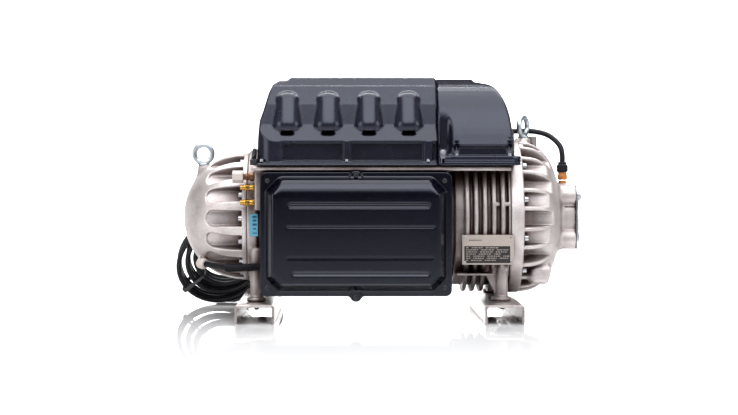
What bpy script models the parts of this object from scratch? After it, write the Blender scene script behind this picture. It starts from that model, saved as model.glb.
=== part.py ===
"""Oil-free two-stage centrifugal compressor with magnetic bearings and a built-in drive.

Metres, +Z up. The origin is the middle of the footprint, on the ground. The shaft lies along X with
the suction port at +X, and the service cover faces -Y.
"""

import math

import bmesh
import bpy
from mathutils import Matrix, Vector

# Driving dimensions
HALF_LENGTH = 0.396
HALF_DEPTH = 0.259
SHAFT_Y = -0.042
SHAFT_Z = 0.197
GAP = 0.0003  # between pieces that touch
SIDES = 28  # of every piece turned round the shaft

RAIL_LEFT_X = -0.244
RAIL_RIGHT_X = 0.2295
RAIL_WIDTH = 0.075
RAIL_HEIGHT = 0.036
RAIL_WALL = 0.005
RAIL_FRONT_Y = -0.250
RAIL_BACK_Y = 0.166
POST_RADIUS = 0.0125
POST_FOOT = 0.019

HOUSING_LEFT_X = -0.263
HOUSING_RIGHT_X = 0.2477
BARREL_RADIUS = 0.122
BARREL_BORE = 0.106
LEFT_BAND_RADIUS = 0.132
LEFT_BAND_END_X = -0.2430
RIGHT_ROOT_RADIUS = 0.138
FIN_RADIUS = 0.150
FIN_PLACES = (0.163, 0.180, 0.197, 0.2145, 0.232)
FIN_WIDTH = 0.006
VOLUTE_X = 0.160
VOLUTE_RADIUS = 0.126
DECK_LOW = 0.290
DECK_HIGH = 0.299

CAP_BAND_X = -0.276
CAP_RADIUS = 0.127
CAP_WALL = 0.009
DOME_BAND_X = 0.271
DOME_RADIUS = 0.152
DOME_END_X = 0.357
NECK_END_X = 0.384
NECK_RADIUS = 0.057
LOBE_OFFSET = 0.042
LOBE_RADIUS = 0.0215
PORT_RADIUS = 0.048
PORT_PLATE_END_X = 0.389

EYE_LEFT_X = -0.357
EYE_LEFT_Z = 0.3225
EYE_RIGHT_X = 0.2855
EYE_RIGHT_Z = 0.3775
EYE_SEAT = 0.024  # from an eye's middle down to its boss
SENSOR_X = 0.364
SENSOR_SEAT = 0.262

COVER_BASE = 0.3003
COVER_TOP = 0.471
COVER_FRONT_Y = -0.236
COVER_BACK_Y = 0.130
COVER_LEFT_X = -0.242
COVER_SPLIT_X = 0.1045
COVER_RIGHT_X = 0.2565
COVER_WALL = 0.0035
BULGE_PLACES = (-0.184, -0.105, -0.027, 0.050)
BULGE_RADIUS = 0.0235

SERVICE_LEFT_X = -0.235
SERVICE_RIGHT_X = 0.131
SERVICE_LOW = 0.051
SERVICE_HIGH = 0.288
PAN_FRONT_Y = -0.205
PAN_FLOOR_Y = -0.166

SHAFT_RADIUS = 0.0295
MAGNET_RADIUS = 0.043
IMPELLER_SEAT = 0.015

VANE_COUNT = 7
VANE_X = 0.322
VANE_PINION = 0.012
VANE_PINION_PLACE = 0.064
DRIVE_RING_RADIUS = 0.072
MOTOR_PINION = 0.008
MOTOR_ANGLE = 180 / VANE_COUNT  # degrees from straight up, between two vanes

DISCHARGE_X = 0.205
DISCHARGE_BORE = 0.031
VALVE_SEAT_Y = 0.156

CABLE_RADIUS = 0.0055
COIL_X = -0.318
COIL_Y = 0.147
COIL_LEAN = math.radians(30)
COIL_INNER = 0.0655
COIL_LAYERS = 3
COIL_SPLAY = (0.014, 0.026, 0.041)
COIL_SPLAY_ANGLE = math.radians(235)

LEAD_ROUTE = [
    (-0.200, 0.1105, 0.235),
    (-0.200, 0.135, 0.236),
    (-0.222, 0.156, 0.240),
    (-0.262, 0.158, 0.243),
    (-0.305, 0.142, 0.240),
    (-0.346, 0.117, 0.228),
    (-0.374, 0.098, 0.209),
    (-0.385, 0.0965, 0.192),
    (-0.3805, 0.1030, 0.1785),
]
TAIL_ROUTE = [
    (-0.2355, 0.1710, 0.0700),
    (-0.2210, 0.1760, 0.0620),
    (-0.2110, 0.1900, 0.0430),
    (-0.2140, 0.2100, 0.0200),
    (-0.2320, 0.2270, 0.0078),
    (-0.2620, 0.2370, 0.0068),
    (-0.2850, 0.2385, 0.0080),
    (-0.3000, 0.2385, 0.0083),
]
CONDUIT_ROUTE = [
    (-0.2335, -0.1860, 0.1055),
    (-0.250, -0.1845, 0.1040),
    (-0.275, -0.1770, 0.1025),
    (-0.300, -0.1620, 0.1020),
    (-0.322, -0.1440, 0.1030),
    (-0.3465, -0.1215, 0.1060),
]
SENSOR_LEAD_ROUTE = [
    (0.2620, -0.008, 0.368),
    (0.280, -0.008, 0.3685),
    (0.308, -0.010, 0.368),
    (0.334, -0.018, 0.362),
    (0.350, -0.028, 0.351),
    (0.361, -0.038, 0.336),
    (SENSOR_X, SHAFT_Y, 0.320),
    (SENSOR_X, SHAFT_Y, 0.3065),
]

AXIS = Vector((0, SHAFT_Y, SHAFT_Z))
UP = Vector((0, 0, 1))
X = Vector((1, 0, 0))
Y = Vector((0, 1, 0))


def clear_scene():
    for obj in list(bpy.data.objects):
        bpy.data.objects.remove(obj)


def finish(name, colour, roughness, metallic):
    """A Principled material with one colour."""
    material = bpy.data.materials.new(name)
    material.use_nodes = True
    shader = material.node_tree.nodes["Principled BSDF"]
    shader.inputs["Base Color"].default_value = (*colour, 1)
    shader.inputs["Roughness"].default_value = roughness
    shader.inputs["Metallic"].default_value = metallic
    return material


FINISHES = {
    "cast_aluminium": ((0.72, 0.68, 0.67), 0.45, 0.9),
    "black_plastic": ((0.012, 0.012, 0.020), 0.22, 0.0),
    "galvanised": ((0.55, 0.54, 0.53), 0.40, 0.9),
    "zinc_steel": ((0.62, 0.66, 0.70), 0.30, 1.0),
    "steel": ((0.50, 0.50, 0.52), 0.28, 1.0),
    "lamination": ((0.30, 0.30, 0.32), 0.45, 0.9),
    "copper": ((0.75, 0.38, 0.22), 0.35, 1.0),
    "brass": ((0.75, 0.50, 0.15), 0.30, 1.0),
    "machined_aluminium": ((0.80, 0.80, 0.82), 0.25, 1.0),
    "rubber": ((0.015, 0.015, 0.017), 0.55, 0.0),
    "ivory_plastic": ((0.75, 0.68, 0.60), 0.45, 0.0),
    "amber_plastic": ((0.55, 0.20, 0.04), 0.35, 0.0),
    "label_blue": ((0.16, 0.52, 0.75), 0.40, 0.0),
    "nameplate_silver": ((0.60, 0.57, 0.52), 0.35, 0.6),
    "circuit_green": ((0.03, 0.16, 0.07), 0.45, 0.0),
    "grey_plastic": ((0.22, 0.22, 0.24), 0.45, 0.0),
}


def new_object(name, bm, slot):
    """Closes the bmesh into an object whose faces point out, shaded smooth between its sharp edges."""
    bmesh.ops.recalc_face_normals(bm, faces=bm.faces[:])
    if bm.calc_volume(signed=True) < 0:
        bmesh.ops.reverse_faces(bm, faces=bm.faces[:])
    mesh = bpy.data.meshes.new(name)
    bm.to_mesh(mesh)
    bm.free()
    mesh.shade_smooth()
    mesh.set_sharp_from_angle(angle=math.radians(35))
    obj = bpy.data.objects.new(name, mesh)
    bpy.context.scene.collection.objects.link(obj)
    if slot:
        mesh.materials.append(finish(f"{name}_finish", *FINISHES[slot]))
    return obj


def box(name, low, high, slot=None, edge=0.0, steps=2):
    bm = bmesh.new()
    bmesh.ops.create_cube(bm, size=1)
    low, high = Vector(low), Vector(high)
    for vertex in bm.verts:
        for k in range(3):
            vertex.co[k] = high[k] if vertex.co[k] > 0 else low[k]
    if edge:
        bmesh.ops.bevel(bm, geom=bm.edges[:], offset=edge, segments=steps, profile=0.5, affect="EDGES")
    return new_object(name, bm, slot)


def turned(name, profile, slot=None, at=AXIS, axis=X, steps=SIDES, ring=False):
    """Turns (along, radius) points round an axis through at. A ring's last point joins its first."""
    turn = UP.rotation_difference(axis).to_matrix()
    bm = bmesh.new()
    rings = []
    for along, radius in profile:
        if radius < 1e-6:
            rings.append([bm.verts.new(at + turn @ Vector((0, 0, along)))])
            continue
        circle = []
        for k in range(steps):
            angle = math.tau * k / steps
            spoke = Vector((radius * math.cos(angle), radius * math.sin(angle), along))
            circle.append(bm.verts.new(at + turn @ spoke))
        rings.append(circle)
    pairs = list(zip(rings, rings[1:]))
    if ring:
        pairs.append((rings[-1], rings[0]))
    for first, second in pairs:
        for k in range(steps):
            corners = [first[k % len(first)], first[(k + 1) % len(first)]]
            corners += [second[(k + 1) % len(second)], second[k % len(second)]]
            bm.faces.new(list(dict.fromkeys(corners)))
    if not ring:
        for circle in (rings[0], rings[-1]):
            if len(circle) > 1:
                bm.faces.new(circle)
    return new_object(name, bm, slot)


def rod(name, start, end, radius, slot=None, steps=24):
    start, end = Vector(start), Vector(end)
    length = (end - start).length
    return turned(name, [(0, radius), (length, radius)], slot, start, (end - start).normalized(), steps)


def prism(name, outline, axis, low, high, slot=None):
    """Extrudes an outline along an axis: (y, z) along X, (x, z) along Y, (x, y) along Z."""
    place = {
        "X": lambda a, b, c: (c, a, b),
        "Y": lambda a, b, c: (a, c, b),
        "Z": lambda a, b, c: (a, b, c),
    }[axis]
    bm = bmesh.new()
    ends = [[bm.verts.new(place(a, b, c)) for a, b in outline] for c in (low, high)]
    bm.faces.new(ends[0])
    bm.faces.new(ends[1][::-1])
    for k in range(len(outline)):
        after = (k + 1) % len(outline)
        bm.faces.new([ends[0][k], ends[1][k], ends[1][after], ends[0][after]])
    return new_object(name, bm, slot)


def combine(target, operation, *tools):
    """Adds each tool to the target, cuts it away or keeps what they share. The tools leave the part."""
    for tool in tools:
        tool.hide_render = True
        tool.display_type = "WIRE"
        modifier = target.modifiers.new(tool.name, "BOOLEAN")
        modifier.operation = operation
        modifier.object = tool
    return target


def bake(obj):
    """Turns an object's modifiers into its mesh, so that copies can share it."""
    graph = bpy.context.evaluated_depsgraph_get()
    mesh = bpy.data.meshes.new_from_object(obj.evaluated_get(graph))
    obj.modifiers.clear()
    obj.data = mesh
    return obj


def set_origin(obj, point):
    obj.data.transform(Matrix.Translation(-Vector(point)))
    obj.location = point


def empty(name, place):
    obj = bpy.data.objects.new(name, None)
    bpy.context.scene.collection.objects.link(obj)
    obj.location = place
    return obj


def hang(obj, parent):
    obj.parent = parent
    obj.location = obj.location - parent.location


def arc(centre, radius, start, end, steps):
    """Points of a circle's arc, angles in degrees."""
    angles = [math.radians(start + (end - start) * k / steps) for k in range(steps + 1)]
    return [(centre[0] + radius * math.cos(a), centre[1] + radius * math.sin(a)) for a in angles]


def rounded_square(centre, half, corner, steps=4):
    points = []
    for k, (right, up) in enumerate(((1, 1), (-1, 1), (-1, -1), (1, -1))):
        middle = (centre[0] + right * (half - corner), centre[1] + up * (half - corner))
        points += arc(middle, corner, 90 * k, 90 * k + 90, steps)
    return points


def hexagon(centre, across):
    return arc(centre, across / math.sqrt(3), 0, 300, 5)


def smooth_route(points, spacing):
    """Even steps along a centripetal Catmull-Rom curve through the points."""
    points = [Vector(p) for p in points]
    padded = [2 * points[0] - points[1], *points, 2 * points[-1] - points[-2]]
    fine = []
    for p0, p1, p2, p3 in zip(padded, padded[1:], padded[2:], padded[3:]):
        t1 = math.sqrt((p1 - p0).length)
        t2 = t1 + math.sqrt((p2 - p1).length)
        t3 = t2 + math.sqrt((p3 - p2).length)
        for k in range(20):
            t = t1 + (t2 - t1) * k / 20
            a1 = p0.lerp(p1, t / t1)
            a2 = p1.lerp(p2, (t - t1) / (t2 - t1))
            a3 = p2.lerp(p3, (t - t2) / (t3 - t2))
            b1 = a1.lerp(a2, t / t2)
            b2 = a2.lerp(a3, (t - t1) / (t3 - t1))
            fine.append(b1.lerp(b2, (t - t1) / (t2 - t1)))
    fine.append(points[-1])
    along = [0.0]
    for a, b in zip(fine, fine[1:]):
        along.append(along[-1] + (b - a).length)
    count = max(2, round(along[-1] / spacing))
    route = []
    for k in range(count + 1):
        wanted = along[-1] * k / count
        i = max(j for j in range(len(along) - 1) if along[j] <= wanted + 1e-12)
        share = (wanted - along[i]) / (along[i + 1] - along[i])
        route.append(fine[i].lerp(fine[i + 1], min(1, share)))
    return route


def tube(name, route, radius, slot, spacing, resolution=2):
    curve = bpy.data.curves.new(name, "CURVE")
    curve.dimensions = "3D"
    curve.bevel_depth = radius
    curve.bevel_resolution = resolution
    curve.use_fill_caps = True
    points = smooth_route(route, spacing) if spacing else [Vector(p) for p in route]
    spline = curve.splines.new("POLY")
    spline.points.add(len(points) - 1)
    for target, point in zip(spline.points, points):
        target.co = (*point, 1)
    obj = bpy.data.objects.new(name, curve)
    bpy.context.scene.collection.objects.link(obj)
    curve.materials.append(finish(f"{name}_finish", *FINISHES[slot]))
    return obj


def dome_radius(share, radius, power):
    """The radius at a share of the way from a dome's rim to its pole."""
    return radius * max(0.0, 1 - share**power) ** (1 / power)


# Castings


def main_housing():
    left, right = HOUSING_LEFT_X, HOUSING_RIGHT_X
    profile = [
        (left, LEFT_BAND_RADIUS),
        (LEFT_BAND_END_X, LEFT_BAND_RADIUS),
        (LEFT_BAND_END_X + 0.0002, BARREL_RADIUS),
        (0.138, BARREL_RADIUS),
        (0.142, RIGHT_ROOT_RADIUS),
    ]
    for place in FIN_PLACES:
        profile += [(place - FIN_WIDTH / 2, RIGHT_ROOT_RADIUS), (place, FIN_RADIUS)]
        profile.append((place + FIN_WIDTH / 2, RIGHT_ROOT_RADIUS))
    profile.append((right, RIGHT_ROOT_RADIUS))
    housing = turned("main_housing", profile, "cast_aluminium")
    deck = box("deck", (-0.251, -0.228, DECK_LOW), (0.244, 0.150, DECK_HIGH))
    inverter_pad = box("inverter_pad", (-0.200, -0.100, DECK_LOW), (0.080, 0.030, 0.322))
    terminal_pad = box("terminal_pad", (0.120, -0.110, DECK_LOW), (0.235, 0.030, 0.352))
    pan = box("pan", (-0.229, PAN_FRONT_Y, 0.057), (0.125, -0.156, DECK_LOW + 0.001))
    fitting_block = box("fitting_block", (-0.246, -0.205, 0.214), (-0.228, -0.150, 0.291))
    plate_pad = box("plate_pad", (0.1545, -0.1925, 0.1115), (0.2470, -0.120, 0.1645))
    start, end = (DISCHARGE_X, 0.080, SHAFT_Z), (DISCHARGE_X, 0.1395, SHAFT_Z)
    discharge_boss = rod("discharge_boss", start, end, 0.041)
    cable_boss = rod("cable_boss", (-0.200, 0.050, 0.235), (-0.200, 0.0895, 0.235), 0.015)
    combine(housing, "UNION", deck, inverter_pad, terminal_pad, pan, fitting_block, plate_pad)
    combine(housing, "UNION", discharge_boss, cable_boss)
    for side, x, reach in (("left", RAIL_LEFT_X, 0.118), ("right", 0.232, 0.103)):
        for end, y in (("front", SHAFT_Y - reach), ("back", SHAFT_Y + reach)):
            base = (x, y, RAIL_HEIGHT + GAP)
            post = rod(f"{side}_{end}_post", base, (x, y, 0.150), POST_RADIUS, steps=20)
            foot = rod(f"{side}_{end}_foot", base, (x, y, 0.046), POST_FOOT, steps=20)
            combine(housing, "UNION", post, foot)
    pan_hollow = box("pan_hollow", (-0.221, PAN_FRONT_Y - 0.01, 0.065), (0.117, PAN_FLOOR_Y, 0.279))
    bore = [(left - 0.01, BARREL_BORE), (VOLUTE_X, BARREL_BORE), (VOLUTE_X + 0.002, VOLUTE_RADIUS)]
    bore.append((right + 0.01, VOLUTE_RADIUS))
    hollow = turned("housing_hollow", bore)
    outlet = rod("outlet", (DISCHARGE_X, 0.050, SHAFT_Z), (DISCHARGE_X, 0.145, SHAFT_Z), DISCHARGE_BORE)
    combine(housing, "DIFFERENCE", pan_hollow, hollow, outlet)


def dome_profile(rim, end, radius, power, steps):
    """(along, radius) points of a dome from its rim to its pole."""
    points = []
    for k in range(steps + 1):
        share = math.sin(math.pi / 2 * k / steps)
        points.append((rim + (end - rim) * share, dome_radius(share, radius, power)))
    return points


def end_cap():
    rim = HOUSING_LEFT_X - GAP
    outer = [(rim, CAP_RADIUS), (CAP_BAND_X, CAP_RADIUS)]
    outer += dome_profile(CAP_BAND_X - 0.001, -HALF_LENGTH, CAP_RADIUS - 0.002, 2.0, 8)
    cap = turned("end_cap", outer, "cast_aluminium")
    eye_seat = EYE_LEFT_Z - EYE_SEAT
    eye_boss = rod("left_eye_boss", (EYE_LEFT_X, SHAFT_Y, 0.255), (EYE_LEFT_X, SHAFT_Y, eye_seat), 0.0115)
    conduit_boss = rod("conduit_boss", (-0.356, -0.070, 0.1105), (-0.356, -0.1020, 0.1105), 0.008)
    inner = [(rim + 0.01, CAP_RADIUS - CAP_WALL)]
    inner += dome_profile(CAP_BAND_X, -HALF_LENGTH + CAP_WALL, CAP_RADIUS - CAP_WALL, 2.0, 6)
    combine(cap, "UNION", eye_boss, conduit_boss)
    combine(cap, "DIFFERENCE", turned("cap_hollow", inner))


def suction_housing():
    rim = HOUSING_RIGHT_X + GAP
    outer = [(rim, DOME_RADIUS), (DOME_BAND_X, DOME_RADIUS), (DOME_BAND_X + 0.001, DOME_RADIUS - 0.002)]
    for k in range(1, 8):
        share = math.sin(math.pi / 2 * k / 8)
        radius = dome_radius(share, DOME_RADIUS - 0.002, 2.4)
        if radius > NECK_RADIUS:
            outer.append((DOME_BAND_X + (DOME_END_X - DOME_BAND_X) * share, radius))
    outer += [(DOME_END_X - 0.001, NECK_RADIUS + 0.004), (NECK_END_X, NECK_RADIUS + 0.003)]
    housing = turned("suction_housing", outer, "cast_aluminium")
    for k in range(4):
        turn = Matrix.Rotation(math.radians(45 + 90 * k), 3, "X")
        place = AXIS + turn @ Vector((0, LOBE_OFFSET * math.sqrt(2), 0))
        start, end = place + X * 0.335, place + X * NECK_END_X
        combine(housing, "UNION", rod(f"port_lobe_{k}", start, end, LOBE_RADIUS, steps=16))
    eye_seat = EYE_RIGHT_Z - EYE_SEAT
    eye_boss = rod("right_eye_boss", (EYE_RIGHT_X, SHAFT_Y, 0.320), (EYE_RIGHT_X, SHAFT_Y, eye_seat), 0.014)
    low, high = (SENSOR_X - 0.012, SHAFT_Y - 0.011, 0.245), (SENSOR_X + 0.012, SHAFT_Y + 0.011, SENSOR_SEAT)
    sensor_boss = box("sensor_boss", low, high, edge=0.002, steps=1)
    pad = box("lower_pad", (0.300, -0.145, 0.070), (0.337, -0.105, 0.108), edge=0.004, steps=1)
    combine(housing, "UNION", eye_boss, sensor_boss, pad)
    wall = 0.010
    inner = [(rim - 0.01, DOME_RADIUS - 0.026), (0.275, DOME_RADIUS - 0.026)]
    inner += [(0.300, 0.122), (0.318, 0.112), (0.334, 0.094), (0.343, 0.078)]
    inner += [(DOME_END_X - wall, NECK_RADIUS - 0.0007), (NECK_END_X + 0.01, NECK_RADIUS - 0.0007)]
    combine(housing, "DIFFERENCE", turned("dome_hollow", inner))


def suction_port_flange():
    start, end = NECK_END_X + GAP, PORT_PLATE_END_X
    outline = rounded_square((SHAFT_Y, SHAFT_Z), 0.0635, 0.0215, 5)
    flange = prism("suction_port_flange", outline, "X", start, end, "cast_aluminium")
    for k, (side, up) in enumerate(((1, 1), (-1, 1), (-1, -1), (1, -1))):
        centre = (SHAFT_Y + side * LOBE_OFFSET, SHAFT_Z + up * LOBE_OFFSET)
        head = prism(f"port_bolt_{k}", hexagon(centre, 0.017), "X", end - 0.001, HALF_LENGTH)
        combine(flange, "UNION", head)
    hole = rod("port_hole", AXIS + X * 0.370, AXIS + X * 0.410, PORT_RADIUS, steps=SIDES)
    combine(flange, "DIFFERENCE", hole)


def discharge_nozzle():
    start, middle = 0.1398, 0.2070
    at = Vector((DISCHARGE_X, 0, SHAFT_Z))
    profile = [
        (start, 0.058),
        (start + 0.013, 0.058),
        (start + 0.014, 0.042),
        (middle, 0.042),
        (middle, DISCHARGE_BORE),
        (VALVE_SEAT_Y, DISCHARGE_BORE),
        (VALVE_SEAT_Y, 0.023),
        (start, 0.023),
    ]
    nozzle = turned("discharge_nozzle", profile, "cast_aluminium", at, Y, 24, ring=True)
    hub_profile = [(0.190, 0.010), (0.198, 0.010), (0.198, 0.0046), (0.190, 0.0046)]
    hub = turned("guide_hub", hub_profile, None, at, Y, 16, ring=True)
    combine(nozzle, "UNION", hub)
    for k in range(3):
        arm = box(f"guide_arm_{k}", (-0.002, 0.1905, 0.007), (0.002, 0.1975, DISCHARGE_BORE + 0.002))
        arm.data.transform(Matrix.Rotation(math.tau * k / 3, 4, "Y"))
        arm.data.transform(Matrix.Translation(at))
        combine(nozzle, "UNION", arm)
    start, end = middle + GAP, HALF_DEPTH
    profile = [(start, 0.042), (end - 0.016, 0.042), (end - 0.015, 0.057), (end, 0.057)]
    profile += [(end, DISCHARGE_BORE), (start, DISCHARGE_BORE)]
    turned("discharge_flange", profile, "cast_aluminium", at, Y, 24, ring=True)


def check_valve():
    at = Vector((DISCHARGE_X, 0, SHAFT_Z))
    face = VALVE_SEAT_Y + GAP
    profile = [(face, 0), (face, 0.028), (face + 0.004, 0.0285), (face + 0.005, 0.027)]
    profile += [(face + 0.006, 0.004), (0.206, 0.004), (0.207, 0)]
    poppet = turned("check_valve_poppet", profile, "steel", at, Y, 24)
    set_origin(poppet, (DISCHARGE_X, face, SHAFT_Z))
    start, end, radius, turns = face + 0.0075, 0.1885, 0.0085, 5
    coil = []
    for k in range(10 * turns + 1):
        angle = math.tau * k / 10
        along = start + (end - start) * k / (10 * turns)
        coil.append((DISCHARGE_X + radius * math.cos(angle), along, SHAFT_Z + radius * math.sin(angle)))
    tube("check_valve_spring", coil, 0.0008, "steel", None, resolution=1)


def interstage_diffuser():
    profile = [(0.222, 0.0175), (0.222, 0.110), (0.226, 0.1255), (0.2472, 0.1255), (0.2472, 0.080)]
    profile += [(0.236, 0.062), (0.236, 0.0175)]
    turned("interstage_diffuser", profile, "machined_aluminium", ring=True)


# Rotor, motor and bearings


def rotor_shaft():
    profile = [
        (-0.250, 0),
        (-0.250, 0.022),
        (-0.246, 0.026),
        (-0.235, 0.026),
        (-0.234, SHAFT_RADIUS),
        (-0.2155, SHAFT_RADIUS),
        (-0.2155, 0.074),
        (-0.2045, 0.074),
        (-0.2045, SHAFT_RADIUS),
        (-0.102, SHAFT_RADIUS),
        (-0.095, MAGNET_RADIUS),
        (0.085, MAGNET_RADIUS),
        (0.092, SHAFT_RADIUS),
        (0.147, SHAFT_RADIUS),
        (0.148, 0.026),
        (0.165, 0.026),
        (0.167, IMPELLER_SEAT),
        (0.300, IMPELLER_SEAT),
        (0.306, 0.010),
        (0.308, 0),
    ]
    return turned("rotor_shaft", profile, "steel", steps=20)


def impeller(name, back, radius, depth, blades):
    """A hub that flares into a disc at its back, with back-swept blades inside a curved envelope."""
    front = back + depth
    hub = [(back, 0), (back, radius), (back + 0.003, radius)]
    for k in range(1, 6):
        share = k / 5
        height = (radius - 0.021) * (1 - math.sin(math.pi / 2 * share)) + 0.021
        hub.append((back + 0.003 + (depth - 0.003) * share**1.6, height))
    hub.append((front, 0))
    wheel = turned(name, hub, "machined_aluminium", steps=24)
    outline = []
    half = 0.0009
    for k in range(blades):
        base = math.tau * k / blades
        for side, radii in ((-1, (0.019, 0.036, radius)), (1, (radius, 0.036, 0.019))):
            for r in radii:
                angle = base - 9 * (r - 0.019) + side * half / r
                outline.append((SHAFT_Y + r * math.cos(angle), SHAFT_Z + r * math.sin(angle)))
    vanes = prism(f"{name}_blades", outline, "X", back + 0.001, front - 0.001)
    envelope = [(back + 0.0005, 0), (back + 0.0005, radius - 0.0005), (back + 0.008, radius - 0.0005)]
    envelope += [(back + 0.013, radius - 0.010), (front - 0.004, radius - 0.019)]
    envelope += [(front - 0.0005, radius - 0.020), (front - 0.0005, 0)]
    combine(vanes, "INTERSECT", turned(f"{name}_envelope", envelope, steps=20))
    bake(vanes)
    combine(wheel, "UNION", vanes)
    start, end = AXIS + X * (back - 0.01), AXIS + X * (front + 0.01)
    combine(wheel, "DIFFERENCE", rod(f"{name}_bore", start, end, IMPELLER_SEAT + GAP))
    return bake(wheel)


def rotor():
    """Everything that spins hangs from one empty on the shaft's axis."""
    spin = empty("rotor_axis", AXIS)
    first = impeller("impeller_1", 0.262, 0.058, 0.034, 7)
    second = impeller("impeller_2", 0.181, 0.054, 0.032, 7)
    for piece in (rotor_shaft(), first, second):
        set_origin(piece, AXIS)
        hang(piece, spin)


def ring_piece(name, start, end, inner, outer, slot):
    profile = [(start, inner), (start, outer), (end, outer), (end, inner)]
    return turned(name, profile, slot, ring=True)


def motor_and_bearings():
    seat = BARREL_BORE - GAP
    ring_piece("stator_core", -0.090, 0.080, 0.045, seat, "lamination")
    winding = [(0, 0.052), (0.002, 0.092), (0.022, 0.095), (0.033, 0.088), (0.035, 0.070), (0.030, 0.056)]
    rear = [(-0.0903 - along, radius) for along, radius in winding]
    front = [(0.0803 + along, radius) for along, radius in winding]
    turned("end_winding_rear", rear, "copper", ring=True)
    turned("end_winding_front", front, "copper", ring=True)
    ring_piece("radial_bearing_rear", -0.184, -0.140, 0.0305, seat, "lamination")
    ring_piece("radial_bearing_front", 0.118, 0.1475, 0.0305, seat, "lamination")
    ring_piece("touchdown_bearing_rear", -0.2455, -0.2358, 0.0265, seat, "steel")
    ring_piece("touchdown_bearing_front", 0.1483, 0.1595, 0.0265, seat, "steel")
    thrust = [(-0.2353, 0.030), (-0.2353, seat), (-0.1853, seat), (-0.1853, 0.030)]
    thrust += [(-0.203, 0.030), (-0.203, 0.076), (-0.217, 0.076), (-0.217, 0.030)]
    turned("thrust_bearing", thrust, "lamination", ring=True)


# Inlet guide vanes


def guide_vanes():
    carrier = ring_piece("vane_carrier", 0.300, 0.3825, PORT_RADIUS, 0.0556, "machined_aluminium")
    centre = AXIS + X * VANE_X
    blade_tip, blade_root, half_angle = PORT_RADIUS - 0.0012, 0.010, math.radians(22.5)
    fan = [half_angle * (1 - k / 4) for k in range(9)]
    outline = [(blade_tip * math.sin(a), blade_tip * math.cos(a)) for a in fan]
    outline += [(blade_root * math.sin(a), blade_root * math.cos(a)) for a in (-half_angle, half_angle)]
    vane = prism("guide_vane_1", outline, "Y", -0.0008, 0.0008, "machined_aluminium")
    low, high = VANE_PINION_PLACE - 0.002, VANE_PINION_PLACE + 0.002
    stem = turned("vane_stem", [(0.040, 0.0018), (low + 0.001, 0.0018)], None, Vector(), UP, 8)
    pinion = turned("vane_pinion", [(low, VANE_PINION), (high, VANE_PINION)], None, Vector(), UP, 20)
    combine(vane, "UNION", stem, pinion)
    bake(vane)
    vane.location = centre
    for k in range(VANE_COUNT):
        turn = Matrix.Rotation(math.tau * k / VANE_COUNT, 3, "X")
        if k:
            copy = bpy.data.objects.new(f"guide_vane_{k + 1}", vane.data)
            bpy.context.scene.collection.objects.link(copy)
            copy.location = centre
            copy.rotation_euler = turn.to_euler()
        start, end = centre + turn @ Vector((0, 0, 0.045)), centre + turn @ Vector((0, 0, 0.059))
        combine(carrier, "DIFFERENCE", rod(f"vane_hole_{k}", start, end, 0.0024, steps=8))
    ring = ring_piece("drive_ring", 0.3035, 0.3095, 0.0565, DRIVE_RING_RADIUS, "steel")
    set_origin(ring, AXIS)
    lean = Matrix.Rotation(math.radians(MOTOR_ANGLE), 3, "X")
    place = AXIS + lean @ Vector((0, 0, DRIVE_RING_RADIUS + MOTOR_PINION + 0.0005))
    pinion = rod("igv_pinion", place + X * 0.3035, place + X * 0.3095, MOTOR_PINION, "steel", 20)
    set_origin(pinion, place)
    rod("igv_motor", place + X * 0.3102, place + X * 0.3300, 0.0145, "grey_plastic", 24)


# Covers


def cover_side(front, grow):
    """(y, z) outline of both top covers, seen from the end: a ledge across the front, a round back."""
    low = COVER_BASE - 0.004 if grow < 0 else COVER_BASE
    top = COVER_TOP + grow
    back = COVER_BACK_Y + grow
    front -= grow
    points = [(front, low), (front, 0.305), (front + 0.022, 0.307), (front + 0.022, 0.343)]
    points += [(front + 0.006, 0.347), (front + 0.030, 0.378), (front + 0.034, 0.440)]
    points += arc((front + 0.064, top - 0.026), 0.026, 180, 90, 3)
    points += arc((back - 0.040, top - 0.040), 0.040, 90, 0, 4)
    points.append((back, low))
    return points


def capacitor_cover_front(grow):
    low = COVER_BASE - 0.004 if grow < 0 else COVER_BASE
    left = COVER_LEFT_X - grow
    points = [(left, low), (left + 0.001, 0.330), (left + 0.005, 0.385), (left + 0.012, 0.405)]
    points += [(left + 0.022, 0.440), (left + 0.030, 0.458), (left + 0.041, 0.465 + grow)]
    points += [(left + 0.058, 0.465 + grow), (left + 0.064, COVER_TOP + grow)]
    right = COVER_SPLIT_X - GAP / 2 + grow
    points += [(right, COVER_TOP + grow), (right, low)]
    return points


def mains_cover_front(grow):
    low = COVER_BASE - 0.004 if grow < 0 else COVER_BASE
    left, right = COVER_SPLIT_X + GAP / 2 - grow, COVER_RIGHT_X + grow
    points = [(left, low), (left, COVER_TOP + grow), (0.171, COVER_TOP + grow), (0.180, 0.464 + grow)]
    for k in range(7):
        angle = math.radians(90 - 15 * k)
        points.append((right - 0.0615 + 0.0515 * math.cos(angle), 0.352 + (0.1095 + grow) * math.sin(angle)))
    points += [(right - 0.0085, 0.330), (right, 0.318), (right, low)]
    return points


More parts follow.
